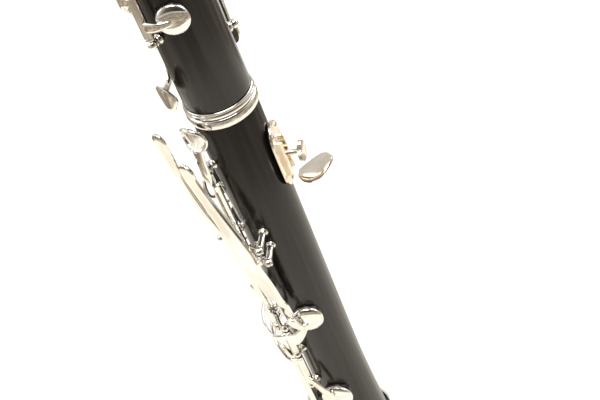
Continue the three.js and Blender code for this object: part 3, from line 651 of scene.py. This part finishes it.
bell_outline = [
    (10.3, 82), (11.1, 72), (12.5, 60), (14.2, 48), (16.5, 38), (19.3, 27), (22.5, 18), (25.6, 11.5),
    (29.5, 6), (32.2, 2.6), (34.5, 0), (38.9, 0), (38.9, 8.5), (36.6, 10.9), (34.6, 14), (31.3, 20),
    (28.6, 27), (26.2, 33.5), (24.2, 41), (22.5, 49), (21.2, 57), (20.0, 65), (19.2, 72), (18.75, 79),
    (18.6, 84), (18.6, 97), (17.2, 97.3), (17.2, BELL_TOP), (13.75, BELL_TOP), (13.75, BELL_TOP - 22.6),
]
ring_piece("bell_wood", "bell_body", bell_outline, ["bell"], WOOD, 0.8, 144)
ring_piece("bell_rim_band", "bell_body", [
    (39.3, 1), (39.75, 1.1), (39.9, 1.8), (39.9, 3.9), (39.7, 4.3), (39.9, 4.7), (39.9, 7.0),
    (39.75, 7.7), (39.3, 7.8)], ["bell_rim_ring"], segments=144)
ring_piece("bell_socket_band", "bell_body", [
    (17.7, 97.8), (19.0, 97.9), (19.3, 98.6), (19.15, 99.3), (19.5, 99.9), (19.7, 101.8), (19.5, 103.6),
    (19.15, 104.3), (19.2, 105.2), (18.9, 105.8), (17.7, 105.8)], ["bell_socket_ring"])

lower_tube = [
    (10.9, 84), (13.4, 84), (13.4, 87), (12.3, 87.2), (12.3, 100), (13.4, 100.2), (13.4, BELL_TOP + GAP),
    (lower_radius(BELL_TOP), BELL_TOP + GAP),
] + [(lower_radius(h), h) for h in range(109, 175, 6)] + [
    (14.2, 175), (14.2, LOWER_TOP), (13.4, LOWER_TOP + 0.1), (13.4, MIDDLE_SPLIT - 0.1),
    (11.3, MIDDLE_SPLIT - 0.1), (11.3, 318.3), (BORE, 318.3), (BORE, 200), (8.6, 140),
]
drilled("lower_joint_wood", LOWER, turned(rounded(lower_tube, 0.25), 128),
        RIGHT_HOLES, LOWER_PADS.values(), [], ["lower_joint"])
ring_piece("lower_joint_band", LOWER, [
    (13.75, LOWER_TOP + 0.35), (14.85, LOWER_TOP + 0.35), (15.1, LOWER_TOP + 0.6), (15.2, LOWER_TOP + 1.1),
    (15.3, LOWER_TOP + 1.7), (15.3, LOWER_TOP + 3.6), (15.05, LOWER_TOP + 4.3), (14.75, MIDDLE_SPLIT - 0.15),
    (13.75, MIDDLE_SPLIT - 0.15)], ["lower_joint_ring"])

upper_tube = [
    (BORE, 318.8), (10.95, 318.8), (10.95, 321), (9.9, 321.2), (9.9, 331), (10.95, 331.2),
    (10.95, MIDDLE_SPLIT + GAP), (13.4, MIDDLE_SPLIT + GAP), (13.4, UPPER_BOTTOM + 0.1),
    (14.3, UPPER_BOTTOM + 0.2), (13.6, UPPER_TOP), (10.95, UPPER_TOP), (10.95, 535), (9.9, 535.2),
    (9.9, 546), (10.95, 546.2), (10.95, 549), (BORE, 549),
]
thumb_holes = [(at(THUMB_SIDE, 5, height), at(THUMB_SIDE, 22, height), radius)
               for height, radius in ((THUMB_HOLE, 4.5), (REGISTER_HOLE, 2.7))]
drilled("upper_joint_wood", UPPER, turned(rounded(upper_tube, 0.25), 128),
        LEFT_HOLES, UPPER_PADS.values(), thumb_holes, ["upper_joint"])
chimney = [(4.55, 8.5), (6.6, 8.5), (6.25, 14.6), (6.0, 16.3), (5.7, 16.9), (4.55, 16.9)]
make("thumb_chimney", UPPER,
     [stood_out(turned(rounded(chimney, 0.2), 56), THUMB_SIDE, 0, THUMB_HOLE)], [WOOD])
ring_piece("upper_joint_band", UPPER, [
    (13.75, MIDDLE_SPLIT + 0.35), (14.8, MIDDLE_SPLIT + 0.35), (15.15, MIDDLE_SPLIT + 0.8),
    (15.2, MIDDLE_SPLIT + 1.3), (15.2, MIDDLE_SPLIT + 2.0), (14.9, MIDDLE_SPLIT + 2.35),
    (14.95, MIDDLE_SPLIT + 2.8), (14.8, UPPER_BOTTOM - 0.3), (14.5, UPPER_BOTTOM - 0.15),
    (13.75, UPPER_BOTTOM - 0.15)], ["upper_joint_ring"])

barrel_outline = [
    (11.3, 533.35), (14.6, 533.35), (14.6, 538.6), (15.5, 538.8), (16.0, 545), (16.4, 551), (16.6, 557),
    (16.7, 566), (16.6, 575), (16.35, 581), (16.0, 587), (15.6, 593.2), (14.6, 593.4), (14.6, BARREL_TOP),
    (11.3, BARREL_TOP), (11.3, 582.5), (BORE, 582.5), (BORE, 549.85), (11.3, 549.85),
]
ring_piece("barrel_wood", "barrel_body", barrel_outline, ["barrel"], WOOD, 0.3, 128)
for band_name, bottom, top in (("barrel_top_ring", 594, 598.6), ("barrel_bottom_ring", 533.7, 538.2)):
    ring_piece(band_name + "_band", "barrel_body", [
        (14.95, bottom), (15.8, bottom), (16.1, bottom + 0.5), (15.95, bottom + 0.9), (16.3, bottom + 1.3),
        (16.3, top - 1.3), (15.95, top - 0.9), (16.1, top - 0.5), (15.8, top), (14.95, top)], [band_name])


def tenon_cork(name, body, inner, outer, low, high):
    outline = [(inner, low), (outer, low), (outer, high), (inner, high)]
    ring_piece(name + "_wrap", body, outline, [name], CORK, 0.2, 80)


tenon_cork("mouthpiece_cork", "mouthpiece_body", 10.25, 10.9, 585.15, 593.65)
tenon_cork("upper_joint_top_cork", UPPER, 10.25, 10.9, 535.55, 545.65)
tenon_cork("upper_joint_bottom_cork", UPPER, 10.25, 10.9, 321.55, 330.65)
tenon_cork("lower_joint_cork", LOWER, 12.65, 13.35, 87.6, 99.8)


# ------------------------------------------------------------------ mouthpiece, reed and ligature
def block(angle, low, high):
    """Wedge between two (shift, radius, height, width, thickness) rows over one line of the bore."""
    corners = []
    for shift, radius, height, width, thickness in (low, high):
        for across, out_by in ((-1, -1), (1, -1), (1, 1), (-1, 1)):
            corners.append(beside(angle, shift + across * width / 2, radius + out_by * thickness / 2, height))
    faces = [[3, 2, 1, 0], [4, 5, 6, 7], [0, 1, 5, 4], [1, 2, 6, 5], [2, 3, 7, 6], [3, 0, 4, 7]]
    return corners, faces, 0


mouthpiece_outline = [
    (BORE, 583.1), (10.95, 583.1), (10.95, 584.6), (9.9, 584.8), (9.9, 594), (10.95, 594.2), (10.95, 599.35),
    (13.6, 599.35), (14.15, 600.4), (14.4, 602), (14.3, 604), (13.9, 606), (13.6, 622), (13.3, 640),
    (12.9, 656), (12.4, TIP), (0, TIP), (0, 652), (4.5, 650.5), (BORE, 645),
]
mouthpiece = make("mouthpiece_body_of_ebonite", "mouthpiece_body", [turned(mouthpiece_outline, 112)],
                  [EBONITE], ["mouthpiece"])
cut_away(mouthpiece, [
    block(0, (0, 27.1, 636, 40, 30), (0, 16.4, TIP + 6, 40, 30)),
    block(THUMB_SIDE, (0, 20.6, 603.5, 40, 20), (0, 20.6, TIP + 6, 40, 20)),
    block(THUMB_SIDE, (0, 8, 636, 11, 9), (0, 10.2, 669.5, 11.5, 2.4)),
])
reed = lever(THUMB_SIDE, [[0, 12.25, 604.5, 11, 2.5], [0, 12.25, 622, 11.6, 2.5], [0, 12.25, 640, 12, 2.5],
                   [0, 11.75, 656, 12.6, 1.5], [0, 11.42, 665, 12.9, 0.85], [0, 11.22, 671.2, 13, 0.45]],
             square=7, ends=SQUARE_ENDS)
make("reed_of_cane", "mouthpiece_body", [reed], [CANE], ["reed"])


def on_screw_line(shift, height):
    """Point on the axis of a ligature screw."""
    return beside(THUMB_SIDE, shift, 16.3, height)


band = [(14.75, 610), (15.3, 610), (15.45, 610.3), (15.45, 611.2), (15.25, 611.5), (15.25, 632.5),
        (15.45, 632.8), (15.45, 633.7), (15.3, 634), (14.75, 634)]
ligature_shapes = [turned(rounded(band, 0.12), 112)]
for height in (616, 628):
    for first, last in ((-8, -2.4), (-1.6, 1.6), (2.4, 8)):
        ligature_shapes.append(bar(on_screw_line(first, height), on_screw_line(last, height), 1.9))
make("ligature_band", "mouthpiece_body", ligature_shapes, [SILVER], ["ligature"])


def knurled(radius, length, teeth=26):
    """Screw head with a knurled rim."""
    count = teeth * 4
    rim = []
    for k in range(count):
        turn = 2 * math.pi * k / count
        r = radius - 0.09 * (1 - math.cos(teeth * turn))
        rim.append((r * math.cos(turn), r * math.sin(turn)))
    return plate(rim, 0, length, 0, 0.5)


for screw, height in (("ligature_screw_upper", 628), ("ligature_screw_lower", 616)):
    tail, neck, head, end = (on_screw_line(shift, height) for shift in (-7.6, 8.4, 9.6, 13.4))
    shapes = [bar(tail, neck, 0.8, segments=20), bar(neck, head, 1.5), along(knurled(2.6, 4.0), head, end)]
    make(screw + "_knurled", screw + "_body", shapes, [SILVER], [screw])

# ------------------------------------------------------------------ keys of the upper joint
key("register_key", HINGES["register_hinge"], -3.1, 3.1, [
    cup((THUMB_SIDE, REGISTER_HOLE, 4.2, 0)),
    lever(THUMB_SIDE, [[0, cup_top(REGISTER_HOLE) - 0.3, 519, 2.4, 1.4], [0, 19.8, 510, 3.6, 1.6],
                       [0, 19.6, 499, 5, 2.2], [0, 20.4, 491, 5.6, 1.7]]),
    touch(THUMB_SIDE, 20.6, 487, 4.6, 5.6),
])

for note, way in (("a", 1), ("g_sharp", -1)):
    shift = way * 5
    start, end = sorted((way * 0.5, way * 7.9))
    key(f"throat_{note}_key", HINGES["throat_hinge"], start, end, [
        cup(UPPER_PADS[note]),
        lever(-10, [on_cup(shift, 508), [shift, 19.6, 501, 3.4, 1.6], [shift, 19.8, 494, 4.4, 2.2],
                    [shift, 21, 487, 4.4, 1.7]]),
        touch(-10, 21.2, 483, 4, 4.2, 1.5, way * 5.4),
    ])


def side_key(name, hole, on_rod, bends, tip_shift, tip_height, half_width):
    angle, height, _, shift = hole
    rows = [on_cup(shift, height), *bends, [on_rod, 19.8, 428, 3, 2.2],
            [on_rod, 20.4, 405, 3, 1.7], [tip_shift, 20.4, tip_height + 4, 3, 1.6]]
    key(name, HINGES["side_hinge"], on_rod - 1.9, on_rod + 1.9, [
        cup(hole), lever(angle, rows), touch(angle, 20.6, tip_height, half_width, 5.4, 1.5, tip_shift)])


side_key("side_key_1", UPPER_PADS["side_1"], -6.9, [[-6.2, 19.6, 437, 2.6, 1.5]], -5.8, 351, 3)
side_key("side_key_2", UPPER_PADS["side_2"], -2.3, [[1.3, 19.8, 446, 2.4, 1.5]], 0.4, 351, 2.8)
side_key("side_key_3", UPPER_PADS["side_3"], 2.3,
         [[6, 20, 466, 2.4, 1.5], [5.2, 20, 446, 2.4, 1.5]], 4.4, 369, 2.6)
side_key("side_key_4", UPPER_PADS["side_4"], 6.9,
         [[9.6, 19.6, 491, 2.4, 1.5], [9.8, 20, 466, 2.4, 1.5], [9, 20, 446, 2.4, 1.5]], 10.4, 369, 3)

hinge = HINGES["left_side_hinge"]
key("cross_key", hinge, 27, 45.5, [
    cup(UPPER_PADS["cross"]),
    wrapped([on_cup(98, 409), [80, 19.6, 409, 3.4, 1.6], [62, 19, 409.5, 5, 1.8]]),
    wrapped([[62, 19.4, 418, 4.6, 1.8], [40, 20, 421, 4, 1.6], [22, 19.8, 421.4, 4, 1.6],
             [9, 19.4, 421.4, 3.2, 1.4]]),
])
key("c_sharp_key", hinge, 2.5, 22, [
    cup(UPPER_PADS["c_sharp"]),
    wrapped([[98, cup_top(385) - 0.1, 384.8, 2.2, 1.4], [80, 19.4, 384.6, 3.6, 1.6],
             [62, 19, 384.4, 5, 1.8]]),
    wrapped([[62, 19.2, 395.4, 4.4, 1.8], [44, 19.6, 394.4, 3.8, 1.7], [22, 19.2, 389, 3.6, 1.6],
             [-4, 19.2, 381, 3.6, 1.6], [-21, 19.4, 373, 3.4, 1.5], [-24, 19.4, 361, 3.4, 1.5],
             [-22, 19.4, 350, 3.4, 1.5], [-10, 19.3, 344.4, 3.6, 1.5], [8, 19.4, 344.4, 4.2, 1.5],
             [26, 20, 346.6, 6.4, 1.5], [39, 20.9, 349, 10.5, 1.5], [49, 21, 350.2, 12.4, 1.5],
             [58, 20.6, 350.6, 11, 1.4], [65, 20, 350.4, 5.6, 1.2]]),
])


def ring_arm(rod_angle, hole):
    """Arm from a rod to the near edge of a finger ring."""
    width = 3.6
    ring_angle, height = hole
    edge = ring_angle + math.copysign(23, rod_angle - ring_angle)
    return wrapped([[rod_angle, 18, height, width, 1.8], [(rod_angle + edge) / 2, 19.4, height, width, 1.6],
                    [edge, 19.6, height, width * 0.9, 1.3]])


key("thumb_ring_key", HINGES["thumb_hinge"], 2.4, 36.6, [
    finger_ring(THUMB_RING), ring_arm(128, THUMB_RING), cup(UPPER_PADS["thumb_vent"]),
    wrapped([[128, 18, 453, 3.8, 1.8], [150, 18.8, 453, 3.4, 1.6], on_cup(176, 453)]),
], OPEN_RING)
hinge = HINGES["upper_ring_hinge"]
key("first_ring_key", hinge, 97.6, 120, [
    finger_ring(LEFT_HOLES[0]), ring_arm(RING_ROD, LEFT_HOLES[0]), cup(UPPER_PADS["first_vent"]),
    wrapped([[RING_ROD, 18, 467, 3.8, 1.8], [-30, 18.6, 469, 3.2, 1.6], on_cup(-12, 470)]),
], OPEN_RING)
key("upper_bridge_key", hinge, 2.4, 92.5, [
    finger_ring(LEFT_HOLES[1]), ring_arm(RING_ROD, LEFT_HOLES[1]), cup(UPPER_PADS["bridge_vent"]),
    wrapped([[RING_ROD, 18, 396, 3.8, 1.8], [-27, 18.6, 396, 3.2, 1.6], on_cup(-8, 396)]),
    wrapped([[RING_ROD, 18.6, 357, 4.4, 1.8], [-58, 20.6, 354, 4.4, 1.7], [-64, 21.6, 347, 4.2, 1.6],
             [-64, 21.6, 333, 4.4, 1.6]]),
], OPEN_RING)

# ------------------------------------------------------------------ keys of the lower joint
key("lower_ring_key", HINGES["lower_ring_hinge"], 2.4, 86.6, [
    *[finger_ring(hole) for hole in RIGHT_HOLES], *[ring_arm(RING_ROD, hole) for hole in RIGHT_HOLES],
    cup(LOWER_PADS["ring_vent"]),
    wrapped([[RING_ROD, 18, 310, 3.8, 1.8], [-26, 18.6, 311, 3.2, 1.6], on_cup(-6, 312)]),
    wrapped([[RING_ROD, 18.2, 312, 4.4, 1.8], [-58, 18.2, 314, 4.2, 1.6], [-64, 18.2, 322, 4, 1.6],
             [-64, 18.2, 343, 4.4, 1.4]]),
], OPEN_RING)
key("sliver_key", HINGES["sliver_hinge"], 2.4, 39, [
    cup(LOWER_PADS["sliver"]),
    wrapped([[-72, 19, 274, 4.6, 1.8], [-88, 19.6, 274, 3.4, 1.6], on_cup(-102, 274)]),
    wrapped([[-72, 19.4, 254.5, 4.4, 1.8], [-60, 21.4, 254.5, 4, 1.6], [-45, 22, 254.5, 3.8, 1.6],
             [-28, 21, 254.5, 3.8, 1.5], [-12, 20, 254.5, 3, 1.4]]),
])
hinge = HINGES["little_finger_hinge"]
key("a_flat_key", hinge, 28.6, 44.5, [
    cup(LOWER_PADS["a_flat"]),
    wrapped([[59, 20, 198, 9, 1.8], [76, 20.2, 202, 6, 1.7], [97, cup_top(210) - 0.2, 210, 2, 1.5]],
            square=5),
    wrapped([[90, 19.6, 208, 3, 1.4], [84, 21.6, 213, 4, 1.4], [80, 23, 219, 4.4, 1.3]]),
    wrapped([[59, 20.4, 201, 5, 1.8], [47, 24.2, 201, 4.2, 1.6], [30, 24.6, 202, 4, 1.6],
             [-12, 24.2, 203, 4, 1.6], [-25, 24, 204, 5, 1.5]]),
    touch(-28, 24, 205.2, 5, 4.4),
])
key("f_sharp_key", hinge, 2.4, 23.6, [
    cup(LOWER_PADS["f_sharp"]),
    wrapped([[59, 20, 166, 5, 1.8], [70, 20.4, 163, 4.6, 1.7], [80, 20.2, 156, 4, 1.6],
             [89, cup_top(147) - 0.2, 148, 2.2, 1.5]]),
    wrapped([[59, 20, 179.5, 4.6, 1.8], [48, 22.8, 181.5, 4.2, 1.6], [38, 23.4, 185.5, 4, 1.6],
             [18, 23.4, 190.6, 3.8, 1.6], [-20, 23.2, 192, 3.8, 1.6], [-44, 23, 194, 4, 1.6],
             [-54, 23, 198, 5, 1.5]]),
    touch(-57, 23.2, 200.5, 5.4, 5),
])
key("e_key", HINGES["e_hinge"], 2.4, 89, [
    cup(LOWER_PADS["e"]),
    wrapped([[40, 20, 131, 4.6, 1.8], [20, 21, 129, 4.2, 1.7], [-10, cup_top(127) - 0.2, 127.2, 2.4, 1.5]]),
    wrapped([[40, 20.2, 183, 4.4, 1.8], [24, 21.2, 183, 3.8, 1.6], [0, 21.6, 183, 3.8, 1.6],
             [-24, 22, 183, 4, 1.6], [-36, 22.2, 184, 5, 1.5]]),
    touch(-37, 22.4, 184.5, 5, 4.3),
    wrapped([[40, 20.2, 210, 4.4, 1.8], [50, 22.6, 213, 4, 1.5], [55, 24.2, 218, 4.4, 1.4],
             [56, 24.6, 225, 4.8, 1.3]]),
], 10)
key("f_key", HINGES["f_hinge"], 2.4, 38.6, [
    cup(LOWER_PADS["f"]),
    wrapped([[-98, 18.8, 172, 5, 1.8], [-74, 19.6, 172, 4.6, 1.7], [-46, 19.6, 172, 4.2, 1.7],
             [-16, cup_top(172) - 0.2, 172, 2.4, 1.5]]),
    wrapped([[-98, 19, 185, 4.4, 1.8], [-82, 21.4, 185, 4.4, 1.6], [-64, 22.2, 185, 5, 1.5]]),
    touch(-64, 22.4, 184.5, 4.6, 4.4),
    wrapped([[-98, 18.8, 196, 4, 1.8], [-84, 18.6, 202, 3.6, 1.6], [-62, 17.4, 208, 3.4, 1.5],
             [-34, 17.2, 215, 3.4, 1.5], [-10, 18.2, 220, 3.4, 1.5], [12, 20, 223, 4, 1.4]]),
], -5)

# ------------------------------------------------------------------ left little finger levers
def rim_point(turn):
    """Point on the thick rim of the F lever's dished touch."""
    angle = 58 + 17 * math.cos(turn)
    return at(angle, 20.95 - 0.0042 * (angle - 54) ** 2, 329.4 + 5.6 * math.sin(turn))


key("left_f_lever", HINGES["left_f_hinge"], 2.4, 76.6, [
    wrapped([[51, 18.9, 299.5, 4, 3.2], [52.5, 19.8, 303.2, 4, 2.6], [57, 21.3, 307, 4.2, 1.9],
             [59.6, 21.9, 311, 4.4, 1.8], [60, 21.5, 318, 4.4, 1.7], [60, 20.7, 324.5, 5, 1.6]],
            square=7, ends=("square", "plain")),
    wrapped([[40, 19.4, 328.2, 4, 0.9], [44, 19.9, 328.4, 8.6, 0.9], [51, 20.4, 329, 11.6, 0.9],
             [59, 20.3, 329.6, 12.4, 0.9], [67, 19.7, 329.6, 11, 0.9], [73, 19, 329.4, 7, 0.9],
             [76, 18.6, 329.3, 3.6, 0.9]]),
    hoop([rim_point(2 * math.pi * k / 40) for k in range(40)], 0.85),
    spring_catch(at(58, 19.6, 303), 56),
    wrapped([[51, 19, 238, 4.4, 1.8], [42, 18.2, 235, 4, 1.7], [33, 18, 231, 4, 1.6], [24, 20, 227.6, 4, 1.5],
             [13, 23.3, 225, 4, 1.4]]),
])
key("left_e_lever", HINGES["left_e_hinge"], -6.4, -1.4, [
    lever(60, [[-15.4, 25.4, 333, 4.6, 1.2], [-15.2, 25.2, 330, 7, 1.5], [-15, 25, 322, 6.6, 1.5],
               [-14.2, 24.8, 308, 4.2, 1.8], [-10.6, 24.6, 290, 4.2, 2], [-4.4, 24.2, 275, 4.2, 2.2],
               [-4, 24, 268, 4.2, 2.2], [-2.9, 22.7, 250, 4.2, 1.9], [-2.9, 22, 238, 4, 1.7],
               [-3.1, 21.7, 231, 4, 1.5], [-3, 20.8, 223, 4, 1.3]], square=4),
])
key("left_a_flat_lever", HINGES["left_a_flat_hinge"], 6.2, 10.2, [
    lever(60, [[-7.6, 25, 318, 4.6, 1.2], [-7.5, 25, 315.5, 7.4, 1.5], [-7, 24.9, 308, 7.4, 1.5],
               [-3.6, 24.8, 296, 8, 1.8], [1.2, 25.2, 283, 9.6, 2], [4.4, 25.5, 275, 10.2, 2],
               [5.4, 25.5, 268, 11, 2], [6, 25.5, 261, 11.6, 2], [6.1, 23.5, 248, 11, 2],
               [5.6, 20.9, 229, 9.2, 2]], square=7, ends=("round", "square")),
    lever(60, [[8.2, 23.4, 259.6, 3.6, 2.6], [8.2, 23.4, 265.4, 3.6, 2.6]], square=6),
    lever(60, [[6.2, 19.8, 232, 8, 1], [6.8, 19, 222, 6.6, 1], [7, 18.8, 217.6, 4.6, 0.9]], square=5),
])

# ------------------------------------------------------------------ thumb rest and metal linings
for lining, inner, outer, foot, top, height in (
        ("register_tube", 1.5, 2.6, 6, seat(REGISTER_HOLE) + 0.2, REGISTER_HOLE),
        ("thumb_tube", 3.4, 4.4, 7.9, FINGER_TOP + 0.1, THUMB_HOLE)):
    outline = rounded([(inner, foot), (outer, foot), (outer, top), (inner, top)], 0.25)
    tube = stood_out(turned(outline, 48), THUMB_SIDE, 0, height)
    make(lining + "_lining", UPPER, [tube], [STEEL], [lining])

rest_plate = [
    lever(THUMB_SIDE, [[0, 15.5, 285.2, 7, 1.4], [0, 15.5, 288.6, 13.4, 1.4], [0, 15.5, 314.4, 13.4, 1.4],
                       [0, 15.5, 317.8, 7, 1.4]], square=9),
    *[lever(THUMB_SIDE, [[shift, 17, 291, 1.3, 2.4], [shift, 17, 309, 1.3, 2.4]], square=7, ends=SQUARE_ENDS)
      for shift in (-2.7, 2.7)],
]
for shift, height in ((-4.1, 313.5), (4.1, 313.5), (0, 287)):
    head = turned([(0, 0), (1.3, 0), (1.3, 0.15), (0.9, 0.42), (0, 0.5)], 32)
    rest_plate.append(stood_out(head, THUMB_SIDE, 16.1, height, shift))
make("thumb_rest_plate_metal", LOWER, rest_plate, [WARM_SILVER], ["thumb_rest_plate"])

paddle = [(at(THUMB_SIDE, r, z), UP, w, t) for r, z, w, t in smooth_rows([
    [19.4, 288.6, 4, 2], [22, 288.4, 10.5, 1.9], [26.5, 289.6, 15.5, 1.9], [31.5, 292, 15, 1.8],
    [35.6, 294.4, 8.5, 1.6]])]
hook = make("thumb_rest_hook_metal", "thumb_rest_hook_body", [
    lever(THUMB_SIDE, [[0, 19.9, 288.2, 3.4, 6.3], [0, 19.9, 311, 3.4, 6.3]], square=9, ends=SQUARE_ENDS),
    strap(paddle, square=3.5, ends=("plain", "round")),
], [WARM_SILVER], ["thumb_rest_hook"])


def on_rest_screw(radius):
    """Point on the axis of the thumb rest's screw."""
    return at(THUMB_SIDE, radius, SCREW_HEIGHT)


cut_away(hook, [bar(on_rest_screw(14), on_rest_screw(24), 1.2)])
make("thumb_rest_screw_knurled", "thumb_rest_screw_body", [
    bar(on_rest_screw(16.6), on_rest_screw(23.8), 0.85),
    along(knurled(4.6, 1.8, 40), on_rest_screw(23.4), on_rest_screw(25.2))],
     [WARM_SILVER], ["thumb_rest_screw"])

# Ball-headed guide beside the side levers' touches.
make("side_key_guide_post", UPPER,
     ball_post(at(222, 17.4, 360.5), -UP, upper_radius(360.5) - 0.15, False, 0.8),
     [SILVER, STEEL], ["side_key_guide"])

# Needle spring of the F lever, from its lower stop to the catch on the sleeve.
make("left_f_needle", LOWER,
     [bar(at(57, 15.2, 276), at(57, 17.2, 303.6), 0.32, 0.18),
      bar(at(57, 14, 275.6), at(57, 16.6, 275.6), 1.1)],
     [STEEL])


# ------------------------------------------------------------------ floor, light and camera
def sheet(name, points, faces, material, height):
    """A flat piece of the surroundings."""
    mesh = bpy.data.meshes.new(name)
    mesh.from_pydata(points, [], faces)
    mesh.materials.append(material)
    piece = bpy.data.objects.new(name, mesh)
    piece.location = (0, 0, height)
    bpy.context.scene.collection.objects.link(piece)
    return piece


def reflector(name, material, near, far, first_angle, last_angle):
    """Card lying round the object that shows only in reflections."""
    points, faces = [], []
    steps = 24
    for k in range(steps + 1):
        way = outward(first_angle + (last_angle - first_angle) * k / steps)
        points += [tuple(way * near), tuple(way * far)]
        if k:
            faces.append([2 * k - 2, 2 * k - 1, 2 * k + 1, 2 * k])
    card = sheet(name, points, faces, material, 0.002)
    card.visible_camera = card.visible_diffuse = card.visible_shadow = card.visible_transmission = False


def studio():
    """Pale floor and soft light from all round, with two cards that show only in reflections.

    The near card is cream paper and the far one is a dim warm room. Sizes here are in metres.
    """
    floor_material = finish("pale_floor", [(0.90, 0.90, 0.89), (0.93, 0.93, 0.92)], 6, (0.55, 0.65),
                            20, 60, 0.05)
    half = 8.0
    corners = [(-half, -half, 0), (half, -half, 0), (half, half, 0), (-half, half, 0)]
    floor = sheet("floor", corners, [[0, 1, 2, 3]], floor_material, -0.0006)

    paper = finish("cream_paper", [(0.56, 0.50, 0.40), (0.80, 0.765, 0.69), (0.92, 0.90, 0.86)],
                   14, (0.7, 0.9), 9, 9, 0.02)
    reflector("paper_reflection", paper, 0.03, 0.47, -90, 270)
    room = finish("warm_room", [(0.05, 0.038, 0.026), (0.22, 0.18, 0.13), (0.58, 0.53, 0.45)],
                  5, (0.7, 0.9), 9, 9, 0.02)
    reflector("room_reflection", room, 0.47, 2.4, -70, 262)

    world = bpy.data.worlds.new("studio")
    world.use_nodes = True
    nodes, links = world.node_tree.nodes, world.node_tree.links
    place = nodes.new("ShaderNodeTexCoord")
    split = nodes.new("ShaderNodeVectorMath")
    split.operation = "DOT_PRODUCT"
    split.inputs[1].default_value = outward(118)
    links.new(place.outputs["Generated"], split.inputs[0])
    sky = ramp(nodes, links, split.outputs["Value"], [
        (0.0, (1.0, 0.99, 0.97)), (0.35, (0.80, 0.77, 0.70)),
        (0.75, (0.16, 0.13, 0.10)), (1.0, (0.05, 0.04, 0.03))])
    links.new(sky, nodes["Background"].inputs["Color"])
    nodes["Background"].inputs["Strength"].default_value = 0.7
    bpy.context.scene.world = world

    for name, place, size, power, colour in (
            ("overhead_softbox", (0.5, 0.2, 2.2), 1.2, 34, (1.0, 0.985, 0.96)),
            ("far_softbox", (-1.6, 1.4, 1.3), 1.5, 30, (1.0, 1.0, 1.0)),
            ("front_softbox", (0.2, -2.0, 1.4), 1.2, 18, (1.0, 0.98, 0.94))):
        light = bpy.data.lights.new(name, "AREA")
        light.size = size
        light.energy = power
        light.color = colour
        lamp = bpy.data.objects.new(name, light)
        lamp.location = place
        lamp.rotation_euler = (Vector((0, 0, 0.3)) - Vector(place)).to_track_quat("-Z", "Y").to_euler()
        lamp.visible_camera = False
        bpy.context.scene.collection.objects.link(lamp)


# Where the camera stands, in degrees round the bore and millimetres, how it is turned, in degrees,
# and the focal length, in millimetres.
CAMERA_SIDE = 114.0
CAMERA_REACH = 335.0
CAMERA_HEIGHT = 568.1
LOOK_ASIDE, LOOK_DOWN, ROLL = 2.41, -41.90, -22.26
LENS = 60.8


def photographer():
    """Camera held close beside the middle of the clarinet, looking down and tilted."""
    data = bpy.data.cameras.new("camera")
    data.lens = LENS
    data.sensor_width = 36.0
    data.clip_start = 0.01
    camera = bpy.data.objects.new("camera", data)
    bpy.context.scene.collection.objects.link(camera)
    forward, right, up = -outward(CAMERA_SIDE), sideways(CAMERA_SIDE), UP
    turn, dip, roll = (math.radians(a) for a in (LOOK_ASIDE, LOOK_DOWN, ROLL))
    forward, right = (forward * math.cos(turn) + right * math.sin(turn),
                      right * math.cos(turn) - forward * math.sin(turn))
    forward, up = (forward * math.cos(dip) + up * math.sin(dip), up * math.cos(dip) - forward * math.sin(dip))
    right, up = (right * math.cos(roll) + up * math.sin(roll), up * math.cos(roll) - right * math.sin(roll))
    camera.matrix_world = facing(right, up, -forward, at(CAMERA_SIDE, CAMERA_REACH, CAMERA_HEIGHT) * MM)
    bpy.context.scene.camera = camera


studio()
photographer()
bpy.context.scene.view_settings.view_transform = "Standard"
